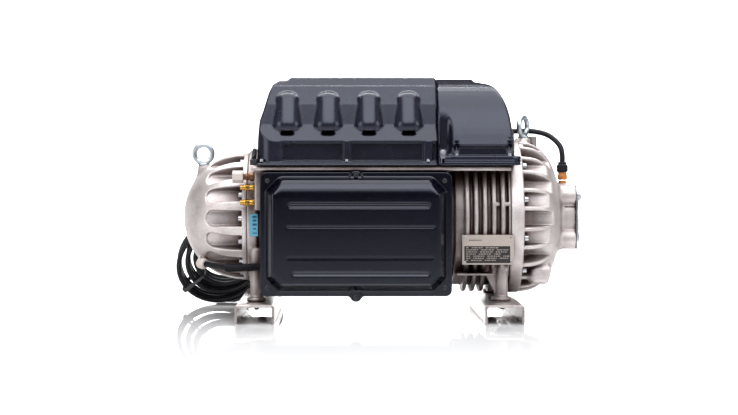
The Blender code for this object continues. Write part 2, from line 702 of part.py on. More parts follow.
def top_cover(name, front_outline, bulges):
    outer = prism(name, front_outline(0), "Y", COVER_FRONT_Y - 0.01, COVER_BACK_Y + 0.01, "black_plastic")
    ends = (COVER_LEFT_X - 0.01, COVER_RIGHT_X + 0.01)
    combine(outer, "INTERSECT", prism(f"{name}_side", cover_side(COVER_FRONT_Y, 0), "X", *ends))
    for k, x in enumerate(bulges):
        at = Vector((x, COVER_FRONT_Y + 0.030, 0))
        profile = [(0.362, BULGE_RADIUS), (0.420, BULGE_RADIUS), (0.434, 0.017), (0.441, 0)]
        combine(outer, "UNION", turned(f"bulge_{k}", [(0.362, 0), *profile], None, at, UP, 16))
    inner = prism(f"{name}_hollow", front_outline(-COVER_WALL), "Y", COVER_FRONT_Y, COVER_BACK_Y + 0.01)
    inner_side = prism(f"{name}_hollow_side", cover_side(COVER_FRONT_Y, -COVER_WALL), "X", *ends)
    combine(inner, "INTERSECT", inner_side)
    clearance = [(-0.300, BARREL_RADIUS + 0.0015), (0.138, BARREL_RADIUS + 0.0015)]
    clearance += [(0.140, DOME_RADIUS + 0.0015), (0.300, DOME_RADIUS + 0.0015)]
    combine(outer, "DIFFERENCE", bake(inner), turned(f"{name}_clearance", clearance))


def service_cover():
    """A shallow lid with chamfered corners at its raised middle, open at the back."""
    back, rim_front, face = PAN_FRONT_Y - GAP, -0.232, -HALF_DEPTH
    low, high, cut = SERVICE_LOW, SERVICE_HIGH, 0.030
    inset = 0.012

    def outline(shrink, corner):
        left, right = SERVICE_LEFT_X + shrink, SERVICE_RIGHT_X - shrink
        bottom, top = low + shrink, high - shrink
        points = [(left + corner, bottom), (right - corner, bottom), (right, bottom + corner)]
        points += [(right, top - corner), (right - corner, top), (left + corner, top)]
        return points + [(left, top - corner), (left, bottom + corner)]

    cover = prism("service_cover", outline(0, 0.012), "Y", rim_front, back, "black_plastic")
    panel = prism("service_panel", outline(inset, cut), "Y", face, rim_front + 0.001)
    tab = box("service_tab", (-0.064, rim_front + 0.010, 0.0405), (-0.036, rim_front + 0.016, low + 0.01))
    hollow = prism("service_hollow", outline(0.007, 0.012), "Y", rim_front + 0.003, back + 0.01)
    panel_hollow = prism("panel_hollow", outline(inset + 0.004, cut), "Y", face + 0.004, rim_front + 0.004)
    combine(cover, "UNION", panel, tab)
    combine(cover, "DIFFERENCE", hollow, panel_hollow)


# Rails, eyes, fittings and labels


def rail(name, middle):
    half = RAIL_WIDTH / 2
    wall = RAIL_WALL
    outline = [(middle - half, 0), (middle - half, RAIL_HEIGHT), (middle + half, RAIL_HEIGHT)]
    outline.append((middle + half, 0))
    outline += [(middle + half - wall, 0), (middle + half - wall, RAIL_HEIGHT - wall)]
    outline += [(middle - half + wall, RAIL_HEIGHT - wall), (middle - half + wall, 0)]
    prism(name, outline, "Y", RAIL_FRONT_Y, RAIL_BACK_Y, "galvanised")


def eye_bolt(name, x, centre_z, facing):
    """A ring on a collar. Its hole faces the given direction, in degrees round Z from -Y."""
    ring_radius, wire = 0.01775, 0.00475
    at = Vector((x, SHAFT_Y, centre_z))
    base = centre_z - EYE_SEAT + GAP
    axis = Matrix.Rotation(math.radians(facing), 3, "Z") @ Y
    profile = []
    for k in range(8):
        angle = math.tau * k / 8
        profile.append((wire * math.sin(angle), ring_radius + wire * math.cos(angle)))
    eye = turned(name, profile, "zinc_steel", at, axis, 20, ring=True)
    profile = [(base, 0.0105), (base + 0.004, 0.0105), (base + 0.008, 0.006)]
    collar = turned(f"{name}_collar", profile, None, Vector((x, SHAFT_Y, 0)), UP, 16)
    combine(eye, "UNION", collar)


def fittings():
    block_x = -0.246 - GAP
    cap = [(0, 0.0065), (0.022, 0.0065), (0.0225, 0.0115), (0.040, 0.0115), (0.044, 0.009)]
    turned("charging_port_cap", cap, "ivory_plastic", Vector((block_x, -0.178, 0.278)), -X, 12)
    valve = [(0, 0.0075), (0.004, 0.0075), (0.005, 0.0055), (0.010, 0.0055)]
    valve += [(0.011, 0.0065), (0.022, 0.0065), (0.023, 0.0048), (0.0285, 0.0048)]
    turned("access_valve_upper", valve, "brass", Vector((block_x, -0.186, 0.2575)), -X, 16)
    turned("access_valve_lower", valve, "brass", Vector((block_x, -0.190, 0.2290)), -X, 16)
    at = Vector((SENSOR_X, SHAFT_Y, 0))
    base = SENSOR_SEAT + GAP
    sensor = [(base, 0.0080), (base + 0.005, 0.0080), (base + 0.006, 0.0095), (0.285, 0.0095)]
    sensor += [(0.286, 0.0115), (0.302, 0.0115), (0.306, 0.0078)]
    turned("suction_sensor", sensor, "amber_plastic", at, UP, 16)
    tube("sensor_lead", SENSOR_LEAD_ROUTE, 0.0055, "rubber", 0.013)
    gland = [(0, 0.0115), (0.006, 0.0115), (0.0065, 0.0095), (0.0145, 0.0080)]
    turned("sensor_gland", gland, "rubber", Vector((0.2470, -0.008, 0.368)), X, 16)


def labels():
    radius = LEFT_BAND_RADIUS
    bm = bmesh.new()
    rows = []
    for k in range(7):
        z = 0.163 + 0.043 * k / 6 - SHAFT_Z
        ring = []
        for r in (radius + GAP, radius + 2 * GAP):
            for x in (-0.2575, -0.2415):
                ring.append(bm.verts.new((x, SHAFT_Y - math.sqrt(r * r - z * z), SHAFT_Z + z)))
        rows.append([ring[0], ring[1], ring[3], ring[2]])
    bm.faces.new(rows[0])
    bm.faces.new(rows[-1])
    for first, second in zip(rows, rows[1:]):
        for k in range(4):
            bm.faces.new([first[k], first[(k + 1) % 4], second[(k + 1) % 4], second[k]])
    new_object("refrigerant_label", bm, "label_blue")
    box("nameplate", (0.1525, -0.1938, 0.1095), (0.2515, -0.1928, 0.1665), "nameplate_silver")


def conduit():
    tube("conduit_hose", CONDUIT_ROUTE, 0.0080, "rubber", 0.015)
    end, before = Vector(CONDUIT_ROUTE[-1]), Vector(CONDUIT_ROUTE[-2])
    along = (end - before).normalized()
    collar = [(0.0003, 0.0095), (0.003, 0.0107), (0.016, 0.0107), (0.0185, 0.0085)]
    turned("conduit_collar", collar, "ivory_plastic", end, along, 20)


# Interface cable


def coil_frame():
    """The coil's plane: its right, its up and the direction through it."""
    lean = Matrix.Rotation(COIL_LEAN, 3, "X")
    return X, lean @ UP, lean @ Y


def coil_radius(layer, angle):
    """A layer's radius. The turns splay towards the lower left."""
    lean = max(0.0, math.cos(angle - COIL_SPLAY_ANGLE))
    return COIL_INNER + 2 * CABLE_RADIUS * layer + COIL_SPLAY[layer] * lean**2


def coil_section(angle, grow, centre):
    """The bundle's section at an angle, as points round it."""
    right, up, through = coil_frame()
    out = right * math.cos(angle) + up * math.sin(angle)
    low = coil_radius(0, angle) - CABLE_RADIUS - grow
    high = coil_radius(COIL_LAYERS - 1, angle) + CABLE_RADIUS + grow
    deep = COIL_LAYERS * CABLE_RADIUS + grow
    soft = 0.0035
    corners = [(low, -deep + soft), (low + soft, -deep), (high - soft, -deep), (high, -deep + soft)]
    corners += [(high, deep - soft), (high - soft, deep), (low + soft, deep), (low, deep - soft)]
    return [centre + out * r + through * d for r, d in corners]


def coil_centre(steps):
    """Where the coil's middle is when its lowest turn just clears the ground."""
    centre = Vector((COIL_X, COIL_Y, 0))
    sections = [coil_section(math.tau * k / steps, 0, centre) for k in range(steps)]
    centre.z = GAP - min(point.z for section in sections for point in section)
    return centre


def loop_rings(bm, rings):
    """Faces between rings of points, the last joined to the first."""
    rows = [[bm.verts.new(p) for p in ring] for ring in rings]
    for first, second in zip(rows, rows[1:] + rows[:1]):
        for k in range(len(first)):
            after = (k + 1) % len(first)
            bm.faces.new([first[k], first[after], second[after], second[k]])


def interface_cable():
    gland = [(0, 0.014), (0.010, 0.014), (0.0105, 0.011), (0.0195, 0.0080)]
    turned("interface_cable_gland", gland, "rubber", Vector((-0.200, 0.0898, 0.235)), Y, 16)
    tube("interface_cable_lead", LEAD_ROUTE, CABLE_RADIUS, "rubber", 0.015)
    tube("interface_cable_tail", TAIL_ROUTE, CABLE_RADIUS, "rubber", 0.012)
    bm = bmesh.new()
    steps = 30
    centre = coil_centre(steps)
    loop_rings(bm, [coil_section(math.tau * k / steps, 0, centre) for k in range(steps)])
    new_object("interface_cable_coil", bm, "rubber")
    bm = bmesh.new()
    angle, half = math.radians(222), 0.035
    inner = [coil_section(angle + side * half, 0.0012, centre) for side in (-1, 1)]
    outer = [coil_section(angle + side * half, 0.0026, centre) for side in (1, -1)]
    loop_rings(bm, inner + outer)
    new_object("interface_cable_tie", bm, "grey_plastic")
    at = Vector(TAIL_ROUTE[-1])
    plug = [(GAP, 0.0062), (0.010, 0.0078), (0.012, 0.0080), (0.044, 0.0080)]
    plug += [(0.045, 0.0070), (0.052, 0.0070)]
    turned("interface_cable_connector", plug, "grey_plastic", at, -X, 16)


# Electronics


def electronics():
    low, high = (-0.195, -0.095, 0.3223), (0.075, 0.025, 0.362)
    box("inverter_module", low, high, "grey_plastic", edge=0.003, steps=1)
    for k, x in enumerate(BULGE_PLACES):
        base = Vector((x, -0.165, 0))
        body = [(DECK_HIGH + GAP, 0.026), (0.408, 0.026), (0.410, 0.024)]
        turned(f"dc_capacitor_{k + 1}", body, "lamination", base, UP, 18)
    box("control_board", (-0.205, -0.182, 0.080), (0.100, -0.178, 0.265), "circuit_green")


def build():
    clear_scene()
    main_housing()
    end_cap()
    suction_housing()
    suction_port_flange()
    discharge_nozzle()
    check_valve()
    interstage_diffuser()
    rotor()
    motor_and_bearings()
    guide_vanes()
    top_cover("capacitor_cover", capacitor_cover_front, BULGE_PLACES)
    top_cover("mains_cover", mains_cover_front, ())
    service_cover()
    rail("left_rail", RAIL_LEFT_X)
    rail("right_rail", RAIL_RIGHT_X)
    eye_bolt("eye_bolt_left", EYE_LEFT_X, EYE_LEFT_Z, 0)
    eye_bolt("eye_bolt_right", EYE_RIGHT_X, EYE_RIGHT_Z, 57)
    fittings()
    labels()
    conduit()
    interface_cable()
    electronics()


build()
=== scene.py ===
"""Looks of a two-stage centrifugal compressor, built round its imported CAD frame.

Cast, moulded and turned pieces are distance fields skinned with a mesh, so that every edge has the
soft radius of a casting or a moulding. Metres, +Z up, the service side faces -Y.
"""

import math

import bmesh
import bpy
import numpy as np
from mathutils import Matrix, Vector


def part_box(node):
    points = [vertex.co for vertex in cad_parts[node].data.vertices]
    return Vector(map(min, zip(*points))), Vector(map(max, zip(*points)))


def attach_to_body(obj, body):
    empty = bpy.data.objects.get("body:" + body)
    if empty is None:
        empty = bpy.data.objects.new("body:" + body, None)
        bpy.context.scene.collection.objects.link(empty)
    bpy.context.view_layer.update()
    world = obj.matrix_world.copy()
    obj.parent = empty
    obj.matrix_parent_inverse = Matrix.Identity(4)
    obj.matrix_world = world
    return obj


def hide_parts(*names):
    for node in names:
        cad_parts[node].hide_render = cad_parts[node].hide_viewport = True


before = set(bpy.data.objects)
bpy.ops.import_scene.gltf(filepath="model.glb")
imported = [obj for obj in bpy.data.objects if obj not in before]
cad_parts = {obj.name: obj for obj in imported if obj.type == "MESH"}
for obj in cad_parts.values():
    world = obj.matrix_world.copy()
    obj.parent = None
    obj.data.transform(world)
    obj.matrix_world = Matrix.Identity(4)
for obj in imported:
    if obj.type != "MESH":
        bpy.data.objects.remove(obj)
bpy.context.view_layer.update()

CASING = "casing"

SHAFT_Y = -0.042
SHAFT_Z = 0.197
AXIS = Vector((0, SHAFT_Y, SHAFT_Z))
X, Y, UP = Vector((1, 0, 0)), Vector((0, 1, 0)), Vector((0, 0, 1))

CAP_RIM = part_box("end_cap")[1].x
CAP_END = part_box("end_cap")[0].x
DOME_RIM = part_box("suction_housing")[0].x
NECK_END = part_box("suction_housing")[1].x
COVER_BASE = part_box("capacitor_cover")[0].z
COVER_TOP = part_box("capacitor_cover")[1].z
COVER_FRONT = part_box("mains_cover")[0].y
COVER_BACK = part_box("capacitor_cover")[1].y
COVER_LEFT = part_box("capacitor_cover")[0].x
COVER_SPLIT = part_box("capacitor_cover")[1].x
COVER_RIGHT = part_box("mains_cover")[1].x
COVER_WALL = 0.0035
BULGES = (-0.183, -0.105, -0.027, 0.049)
NOZZLE_X = 0.205
PORT_BOLT = 0.042
SENSOR_X = 0.364
LEFT_POSTS = (-0.244, 0.118)
RIGHT_POSTS = (0.232, 0.103)


# Distance fields. Each takes points as rows x, y, z and gives the distance to a solid's surface.


def join(a, b, soft):
    blend = np.maximum(soft - np.abs(a - b), 0) / soft
    return np.minimum(a, b) - blend * blend * soft / 4


def common(a, b, soft):
    return -join(-a, -b, soft)


def carve(a, b, soft):
    return common(a, -b, soft)


def slab(p, low, high, soft=0.0):
    """A box with rounded edges."""
    low, high = np.array(low), np.array(high)
    centre, half = (low + high) / 2, (high - low) / 2 - soft
    q = np.abs(p - centre[:, None]) - half[:, None]
    return np.linalg.norm(np.maximum(q, 0), axis=0) + np.minimum(q.max(axis=0), 0) - soft


def bar(p, start, end, radius):
    """A rod with round ends."""
    start, end = np.array(start), np.array(end)
    along = end - start
    share = np.clip(((p - start[:, None]).T @ along) / (along @ along), 0, 1)
    return np.linalg.norm(p - start[:, None] - along[:, None] * share, axis=0) - radius


def drum(p, axis, centre, radius, low, high, soft=0.001):
    """A cylinder along a coordinate axis, between two places on it, with rounded rims."""
    others = [k for k in range(3) if k != axis]
    offset = p[others] - np.array(centre)[others][:, None]
    out = np.linalg.norm(offset, axis=0) - radius + soft
    along = np.abs(p[axis] - (low + high) / 2) - (high - low) / 2 + soft
    q = np.stack([out, along])
    return np.linalg.norm(np.maximum(q, 0), axis=0) + np.minimum(q.max(axis=0), 0) - soft


def outline(u, v, points):
    """The flat distance to a polygon, below zero inside it."""
    nearest = np.full(u.shape, 1e9)
    inside = np.zeros(u.shape, bool)
    for (au, av), (bu, bv) in zip(points, points[1:] + points[:1]):
        du, dv = bu - au, bv - av
        share = np.clip(((u - au) * du + (v - av) * dv) / (du * du + dv * dv), 0, 1)
        nearest = np.minimum(nearest, np.hypot(u - au - share * du, v - av - share * dv))
        if dv:
            crosses = ((av > v) != (bv > v)) & (u < au + du * (v - av) / dv)
            inside ^= crosses
    return np.where(inside, -nearest, nearest)


def polar(p):
    """Distance from the shaft's axis, and the angle round it from -Y towards +Z."""
    y, z = p[1] - SHAFT_Y, p[2] - SHAFT_Z
    return np.hypot(y, z), np.arctan2(z, -y)


def folded(radius, angle, pitch, start=0.0):
    """Distance out and sideways from the nearest of several evenly spaced spokes."""
    off = (angle - start + pitch / 2) % pitch - pitch / 2
    return radius * np.cos(off), radius * np.sin(off)


def net(field, low, high, cell):
    """A mesh on the field's surface: one point in each grid cell that it crosses, then pulled onto it."""
    axes = [np.arange(a, b + cell, cell) for a, b in zip(low, high)]
    grid = np.stack(np.meshgrid(*axes, indexing="ij")).reshape(3, -1)
    value = np.concatenate([field(part) for part in np.array_split(grid, 24, axis=1)])
    value = value.reshape([len(a) for a in axes])
    solid = value < 0
    corners = [(i, j, k) for i in (0, 1) for j in (0, 1) for k in (0, 1)]
    shape = [n - 1 for n in value.shape]

    def corner_of(array, corner):
        return array[tuple(slice(c, c + n) for c, n in zip(corner, shape))]

    count = sum(corner_of(solid, c).astype(np.int8) for c in corners)
    cells = np.argwhere((count > 0) & (count < 8))
    number = np.full(shape, -1, np.int64)
    number[tuple(cells.T)] = np.arange(len(cells))
    total = np.zeros((len(cells), 3))
    crossed = np.zeros(len(cells))
    for a in corners:
        for axis in range(3):
            if a[axis]:
                continue
            b = tuple(c + (k == axis) for k, c in enumerate(a))
            at_a = value[tuple((cells + a).T)]
            at_b = value[tuple((cells + b).T)]
            hit = (at_a < 0) != (at_b < 0)
            share = at_a / np.where(hit, at_a - at_b, 1)
            place = np.array(a) + share[:, None] * np.eye(3)[axis]
            total += np.where(hit[:, None], place, 0)
            crossed += hit
    points = np.array(low) + cell * (cells + total / crossed[:, None])
    for _ in range(2):
        here = field(points.T)
        slope = [(field((points + cell * 0.2 * np.eye(3)[k]).T) - here) / (cell * 0.2) for k in range(3)]
        slope = np.stack(slope)
        step = here / np.maximum((slope * slope).sum(axis=0), 0.25)
        points -= np.clip(step * slope, -cell / 2, cell / 2).T
    faces = []
    for axis in range(3):
        one, two = [k for k in range(3) if k != axis]
        first = np.take(solid, range(value.shape[axis] - 1), axis)
        second = np.take(solid, range(1, value.shape[axis]), axis)
        edges = np.argwhere(first != second)
        inside = (edges[:, one] > 0) & (edges[:, one] < shape[one])
        inside &= (edges[:, two] > 0) & (edges[:, two] < shape[two])
        edges = edges[inside]
        around = []
        for shift_one, shift_two in ((1, 1), (0, 1), (0, 0), (1, 0)):
            at = edges.copy()
            at[:, one] -= shift_one
            at[:, two] -= shift_two
            around.append(number[tuple(at.T)])
        quads = np.stack(around, axis=1)
        outward = first[tuple(edges.T)] ^ (axis == 1)
        quads[~outward] = quads[~outward][:, ::-1]
        faces.append(quads)
    return points, np.concatenate(faces)


def mesh_object(name, points, faces, material, smooth_angle=None):
    mesh = bpy.data.meshes.new(name)
    mesh.from_pydata(points.tolist(), [], faces.tolist())
    mesh.shade_smooth()
    if smooth_angle:
        mesh.set_sharp_from_angle(angle=math.radians(smooth_angle))
    mesh.materials.append(material)
    obj = bpy.data.objects.new(name, mesh)
    bpy.context.scene.collection.objects.link(obj)
    return obj


def room(node, margin=0.004):
    """Where to look for a piece's surface: the box of its node and a margin."""
    low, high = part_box(node)
    edge = Vector((margin,) * 3)
    return low - edge, high + edge


def attach(obj, nodes=(), body=CASING):
    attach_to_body(obj, body)
    if nodes:
        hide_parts(*nodes)
    return obj


def skinned(name, field, low, high, cell, material, slot, nodes=()):
    """A piece whose surface is the field's."""
    points, faces = net(field, low, high, cell)
    return attach(mesh_object(name, points, faces, material), nodes)


# Materials


class Paint:
    """A material's nodes, with short names for the ones used here. Places are in the row frame."""

    def __init__(self, name, colour, roughness, metallic=0.0):
        self.material = bpy.data.materials.new(name)
        self.material.use_nodes = True
        self.tree = self.material.node_tree
        self.shader = self.tree.nodes["Principled BSDF"]
        self.shader.inputs["Roughness"].default_value = roughness
        self.shader.inputs["Metallic"].default_value = metallic
        self.shader.inputs["Base Color"].default_value = (*colour, 1)
        self.place = self.add("ShaderNodeTexCoord").outputs["Object"]

    def add(self, kind, **settings):
        node = self.tree.nodes.new(kind)
        for key, value in settings.items():
            setattr(node, key, value)
        return node

    def link(self, source, target):
        self.tree.links.new(source, target)

    def noise(self, scale, detail=3.0, stretch=None):
        node = self.add("ShaderNodeTexNoise")
        node.inputs["Scale"].default_value = scale
        node.inputs["Detail"].default_value = detail
        source = self.place
        if stretch:
            mapping = self.add("ShaderNodeMapping")
            mapping.inputs["Scale"].default_value = stretch
            self.link(source, mapping.inputs["Vector"])
            source = mapping.outputs["Vector"]
        self.link(source, node.inputs["Vector"])
        return node.outputs["Fac"]

    def ramp(self, source, low, high, dark, light):
        node = self.add("ShaderNodeValToRGB")
        node.color_ramp.elements[0].position = low
        node.color_ramp.elements[1].position = high
        node.color_ramp.elements[0].color = (*dark, 1)
        node.color_ramp.elements[1].color = (*light, 1)
        self.link(source, node.inputs["Fac"])
        return node.outputs["Color"]

    def spread(self, source, low, high):
        """The source, from 0 to 1, moved into a range of values."""
        node = self.add("ShaderNodeMapRange")
        node.inputs["To Min"].default_value = low
        node.inputs["To Max"].default_value = high
        self.link(source, node.inputs["Value"])
        return node.outputs["Result"]

    def mix(self, share, a, b):
        node = self.add("ShaderNodeMix", data_type="RGBA")
        for value, socket in ((share, node.inputs["Factor"]), (a, node.inputs["A"]), (b, node.inputs["B"])):
            if isinstance(value, bpy.types.NodeSocket):
                self.link(value, socket)
            elif isinstance(value, tuple):
                socket.default_value = (*value, 1)
            else:
                socket.default_value = value
        return node.outputs["Result"]

    def coordinate(self, axis):
        node = self.add("ShaderNodeSeparateXYZ")
        self.link(self.place, node.inputs["Vector"])
        return node.outputs[axis]

    def between(self, axis, start, end, most=1.0):
        """From 0 before the start to the most after the end, along an axis."""
        node = self.add("ShaderNodeMapRange")
        node.inputs["From Min"].default_value = start
        node.inputs["From Max"].default_value = end
        node.inputs["To Max"].default_value = most
        self.link(self.coordinate(axis), node.inputs["Value"])
        return node.outputs["Result"]

    def recess(self, reach):
        """From 0 in a recess to 1 in the open."""
        node = self.add("ShaderNodeAmbientOcclusion")
        node.inputs["Distance"].default_value = reach
        node.samples = 6
        return node.outputs["AO"]

    def bump(self, source, depth, strength=1.0, before=None):
        node = self.add("ShaderNodeBump")
        node.inputs["Distance"].default_value = depth
        node.inputs["Strength"].default_value = strength
        self.link(source, node.inputs["Height"])
        if before:
            self.link(before, node.inputs["Normal"])
        return node.outputs["Normal"]

    def put(self, socket, source):
        self.link(source, self.shader.inputs[socket])


def cast_metal(name, colour, shade, roughness=0.42, recess_shade_colour=(0.07, 0.035, 0.028)):
    """Sand-cast aluminium: mottled and grainy, with painted shade darkening its recesses."""
    paint = Paint(name, colour, roughness, 0.68)
    mottle = paint.ramp(paint.noise(24, 5), 0.35, 0.68, shade, colour)
    speck = paint.ramp(paint.noise(420, 2), 0.30, 0.62, (0.72, 0.70, 0.70), (1, 1, 1))
    multiply = paint.add("ShaderNodeMix", data_type="RGBA", blend_type="MULTIPLY")
    multiply.inputs["Factor"].default_value = 0.55
    paint.link(mottle, multiply.inputs["A"])
    paint.link(speck, multiply.inputs["B"])
    # Painted shade: an ambient-occlusion mask mixes the colour towards dark brown in recesses and creases.
    open_share = paint.ramp(paint.recess(0.034), 0.30, 0.95, (0, 0, 0), (1, 1, 1))
    paint.put("Base Color", paint.mix(open_share, recess_shade_colour, multiply.outputs["Result"]))
    paint.put("Roughness", paint.spread(paint.noise(90, 3), roughness - 0.08, roughness + 0.14))
    coarse = paint.bump(paint.noise(150, 4), 0.0009, 0.55)
    paint.put("Normal", paint.bump(paint.noise(700, 2), 0.0004, 0.5, coarse))
    return paint.material


def moulded(name, colour, light, roughness, grain=900, depth=0.00012, sheen=(1, 1, 1)):
    """Moulded plastic with a fine grain and faint flow marks. Its reflections can have a tint."""
    paint = Paint(name, colour, roughness)
    paint.shader.inputs["Specular Tint"].default_value = (*sheen, 1)
    paint.put("Base Color", paint.ramp(paint.noise(9, 3), 0.30, 0.75, colour, light))
    paint.put("Roughness", paint.spread(paint.noise(35, 4), roughness - 0.04, roughness + 0.06))
    paint.put("Normal", paint.bump(paint.noise(grain, 2), depth, 0.6))
    return paint.material


def brushed(name, colour, shade, roughness, stretch, metallic=1.0, scale=60):
    """Turned or rolled metal, with fine lines across the given stretch."""
    paint = Paint(name, colour, roughness, metallic)
    lines = paint.noise(scale, 4, stretch)
    paint.put("Base Color", paint.ramp(lines, 0.30, 0.72, shade, colour))
    paint.put("Roughness", paint.spread(lines, roughness - 0.06, roughness + 0.12))
    paint.put("Normal", paint.bump(lines, 0.00015, 0.5))
    return paint.material


def cable_black(name, colour=(0.010, 0.010, 0.013), shade=(0.003, 0.003, 0.005)):
    """Matt rubber."""
    paint = Paint(name, colour, 0.38)
    paint.shader.inputs["Specular IOR Level"].default_value = 0.22
    paint.put("Base Color", paint.ramp(paint.noise(60, 3), 0.3, 0.7, shade, colour))
    paint.put("Roughness", paint.spread(paint.noise(140, 3), 0.30, 0.50))
    paint.put("Normal", paint.bump(paint.noise(500, 2), 0.00015, 0.5))
    return paint.material


CAST = cast_metal("cast_aluminium_look", (0.74, 0.69, 0.675), (0.56, 0.505, 0.49))
# A darker copy of the cast look, used on the barrel and the finned ring: painted shade for where they sit
# under the deck and the covers.
CAST_SHADED = cast_metal("cast_aluminium_shaded_look", (0.56, 0.51, 0.50), (0.36, 0.32, 0.31))
COVER = moulded("black_cover_look", (0.005, 0.005, 0.011), (0.009, 0.009, 0.018), 0.25,
                sheen=(0.82, 0.87, 1.0))
SERVICE = moulded("service_cover_look", (0.0008, 0.0008, 0.0030), (0.0015, 0.0015, 0.006), 0.13,
                  sheen=(0.84, 0.88, 1.0))
BLACK = moulded("black_plastic_look", (0.012, 0.012, 0.015), (0.022, 0.022, 0.026), 0.42)
GREY = moulded("grey_plastic_look", (0.16, 0.16, 0.175), (0.23, 0.23, 0.245), 0.42)
IVORY = moulded("ivory_plastic_look", (0.50, 0.44, 0.40), (0.64, 0.57, 0.53), 0.42)
AMBER = moulded("amber_plastic_look", (0.36, 0.11, 0.02), (0.60, 0.24, 0.05), 0.30)
BOARD = moulded("circuit_board_look", (0.015, 0.10, 0.045), (0.03, 0.17, 0.08), 0.36, 300, 0.0003)
GALVANISED = brushed("galvanised_look", (0.56, 0.51, 0.50), (0.34, 0.30, 0.29), 0.34,
                     (1, 0.15, 1), 0.90, 90)
ZINC = brushed("zinc_plate_look", (0.60, 0.66, 0.70), (0.40, 0.46, 0.50), 0.30, (1, 1, 1), 1.0, 80)
STEEL = brushed("ground_steel_look", (0.58, 0.58, 0.60), (0.38, 0.38, 0.40), 0.26, (1, 8, 8))
ALUMINIUM = brushed("machined_aluminium_look", (0.82, 0.82, 0.84), (0.62, 0.62, 0.65), 0.24, (6, 1, 1))
LAMINATION = brushed("lamination_look", (0.34, 0.34, 0.36), (0.16, 0.16, 0.18), 0.42,
                     (14, 0.2, 0.2), 0.9, 120)
COPPER = brushed("winding_look", (0.74, 0.36, 0.19), (0.46, 0.18, 0.08), 0.34, (1, 9, 9), 1.0, 45)
BRASS = brushed("turned_brass_look", (0.62, 0.37, 0.09), (0.34, 0.16, 0.03), 0.22, (9, 1, 1), 1.0, 120)
BRONZE = brushed("aged_brass_look", (0.30, 0.17, 0.09), (0.14, 0.07, 0.04), 0.38, (9, 1, 1), 1.0, 120)
CAN = brushed("capacitor_can_look", (0.55, 0.56, 0.60), (0.38, 0.38, 0.42), 0.28, (9, 9, 1))
CABLE = cable_black("cable_look")


# Interface cable: its lead, its coil and its tail are one free cord.

CABLE_RADIUS = 0.0055
COIL_X = -0.318
COIL_Y = 0.147
COIL_LEAN = math.radians(30)
COIL_INNER = 0.0655
COIL_SPLAY = (0.014, 0.026, 0.041)
COIL_SPLAY_ANGLE = math.radians(235)
COIL_CELLS = [(2, -1), (2, 0), (2, 1), (1, 1), (1, 0), (1, -1), (0, -1), (0, 0), (0, 1)]
COIL_START, COIL_END = 158, 8 * 360 + 318
CHANGE_START, CHANGE_SPAN = 320, 100
ROUTE_STEP = 0.008

LEAD_ROUTE = [
    (-0.200, 0.1105, 0.235),
    (-0.200, 0.135, 0.236),
    (-0.222, 0.156, 0.240),
    (-0.262, 0.158, 0.243),
    (-0.305, 0.142, 0.240),
    (-0.346, 0.117, 0.228),
    (-0.374, 0.098, 0.209),
    (-0.385, 0.0965, 0.192),
]
TAIL_ROUTE = [
    (-0.2210, 0.1760, 0.0620),
    (-0.2110, 0.1900, 0.0430),
    (-0.2140, 0.2100, 0.0200),
    (-0.2320, 0.2270, 0.0078),
    (-0.2620, 0.2370, 0.0068),
    (-0.2850, 0.2385, 0.0080),
    (-0.3000, 0.2385, 0.0083),
]


def smooth_route(points, spacing):
    """Even steps along a centripetal Catmull-Rom curve through the points."""
    points = [Vector(p) for p in points]
    padded = [2 * points[0] - points[1], *points, 2 * points[-1] - points[-2]]
    fine = []
    for p0, p1, p2, p3 in zip(padded, padded[1:], padded[2:], padded[3:]):
        t1 = math.sqrt((p1 - p0).length)
        t2 = t1 + math.sqrt((p2 - p1).length)
        t3 = t2 + math.sqrt((p3 - p2).length)
        for k in range(12):
            t = t1 + (t2 - t1) * k / 12
            a1 = p0.lerp(p1, t / t1)
            a2 = p1.lerp(p2, (t - t1) / (t2 - t1))
            a3 = p2.lerp(p3, (t - t2) / (t3 - t2))
            b1 = a1.lerp(a2, t / t2)
            b2 = a2.lerp(a3, (t - t1) / (t3 - t1))
            fine.append(b1.lerp(b2, (t - t1) / (t2 - t1)))
    fine.append(points[-1])
    along = np.concatenate([[0], np.cumsum([(b - a).length for a, b in zip(fine, fine[1:])])])
    count = max(2, round(along[-1] / spacing))
    wanted = np.linspace(0, along[-1], count + 1)
    flat = np.array([tuple(p) for p in fine])
    return [Vector([np.interp(w, along, flat[:, k]) for k in range(3)]) for w in wanted]


def ease(share):
    share = min(1.0, max(0.0, share))
    return share * share * (3 - 2 * share)


def splay_at(angle):
    """How far the turns spread here, from 0 to 1."""
    return max(0.0, math.cos(angle - COIL_SPLAY_ANGLE)) ** 2


def coil_middle():
    """The coil's centre: its height is where the CAD bundle has it."""
    low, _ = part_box("interface_cable_coil")
    reach = 0.0
    for k in range(72):
        angle = math.tau * k / 72
        out = COIL_INNER + 5 * CABLE_RADIUS + COIL_SPLAY[2] * splay_at(angle)
        reach = max(reach, -out * math.sin(angle) * math.cos(COIL_LEAN))
    return Vector((COIL_X, COIL_Y, low.z + reach + 3 * CABLE_RADIUS * math.sin(COIL_LEAN)))


def coil_points():
    """Turn by turn from the outer front to the inner back. Turns change place behind the machine."""
    lean = Matrix.Rotation(COIL_LEAN, 3, "X")
    middle = coil_middle()
    points = []
    for degrees in range(COIL_START, COIL_END + 1, 6):
        place = (degrees - CHANGE_START) / 360
        turn = math.floor(place)
        share = ease((place - turn) / (CHANGE_SPAN / 360))
        before, after = (COIL_CELLS[max(0, min(k, 8))] for k in (turn, turn + 1))
        angle = math.radians(degrees)
        splay = splay_at(angle)
        radii = [COIL_INNER + 2 * CABLE_RADIUS * c[0] + COIL_SPLAY[c[0]] * splay for c in (before, after)]
        out = radii[0] + (radii[1] - radii[0]) * share
        depth = 2 * CABLE_RADIUS * (before[1] + (after[1] - before[1]) * share)
        points.append(middle + lean @ Vector((out * math.cos(angle), depth, out * math.sin(angle))))
    return points


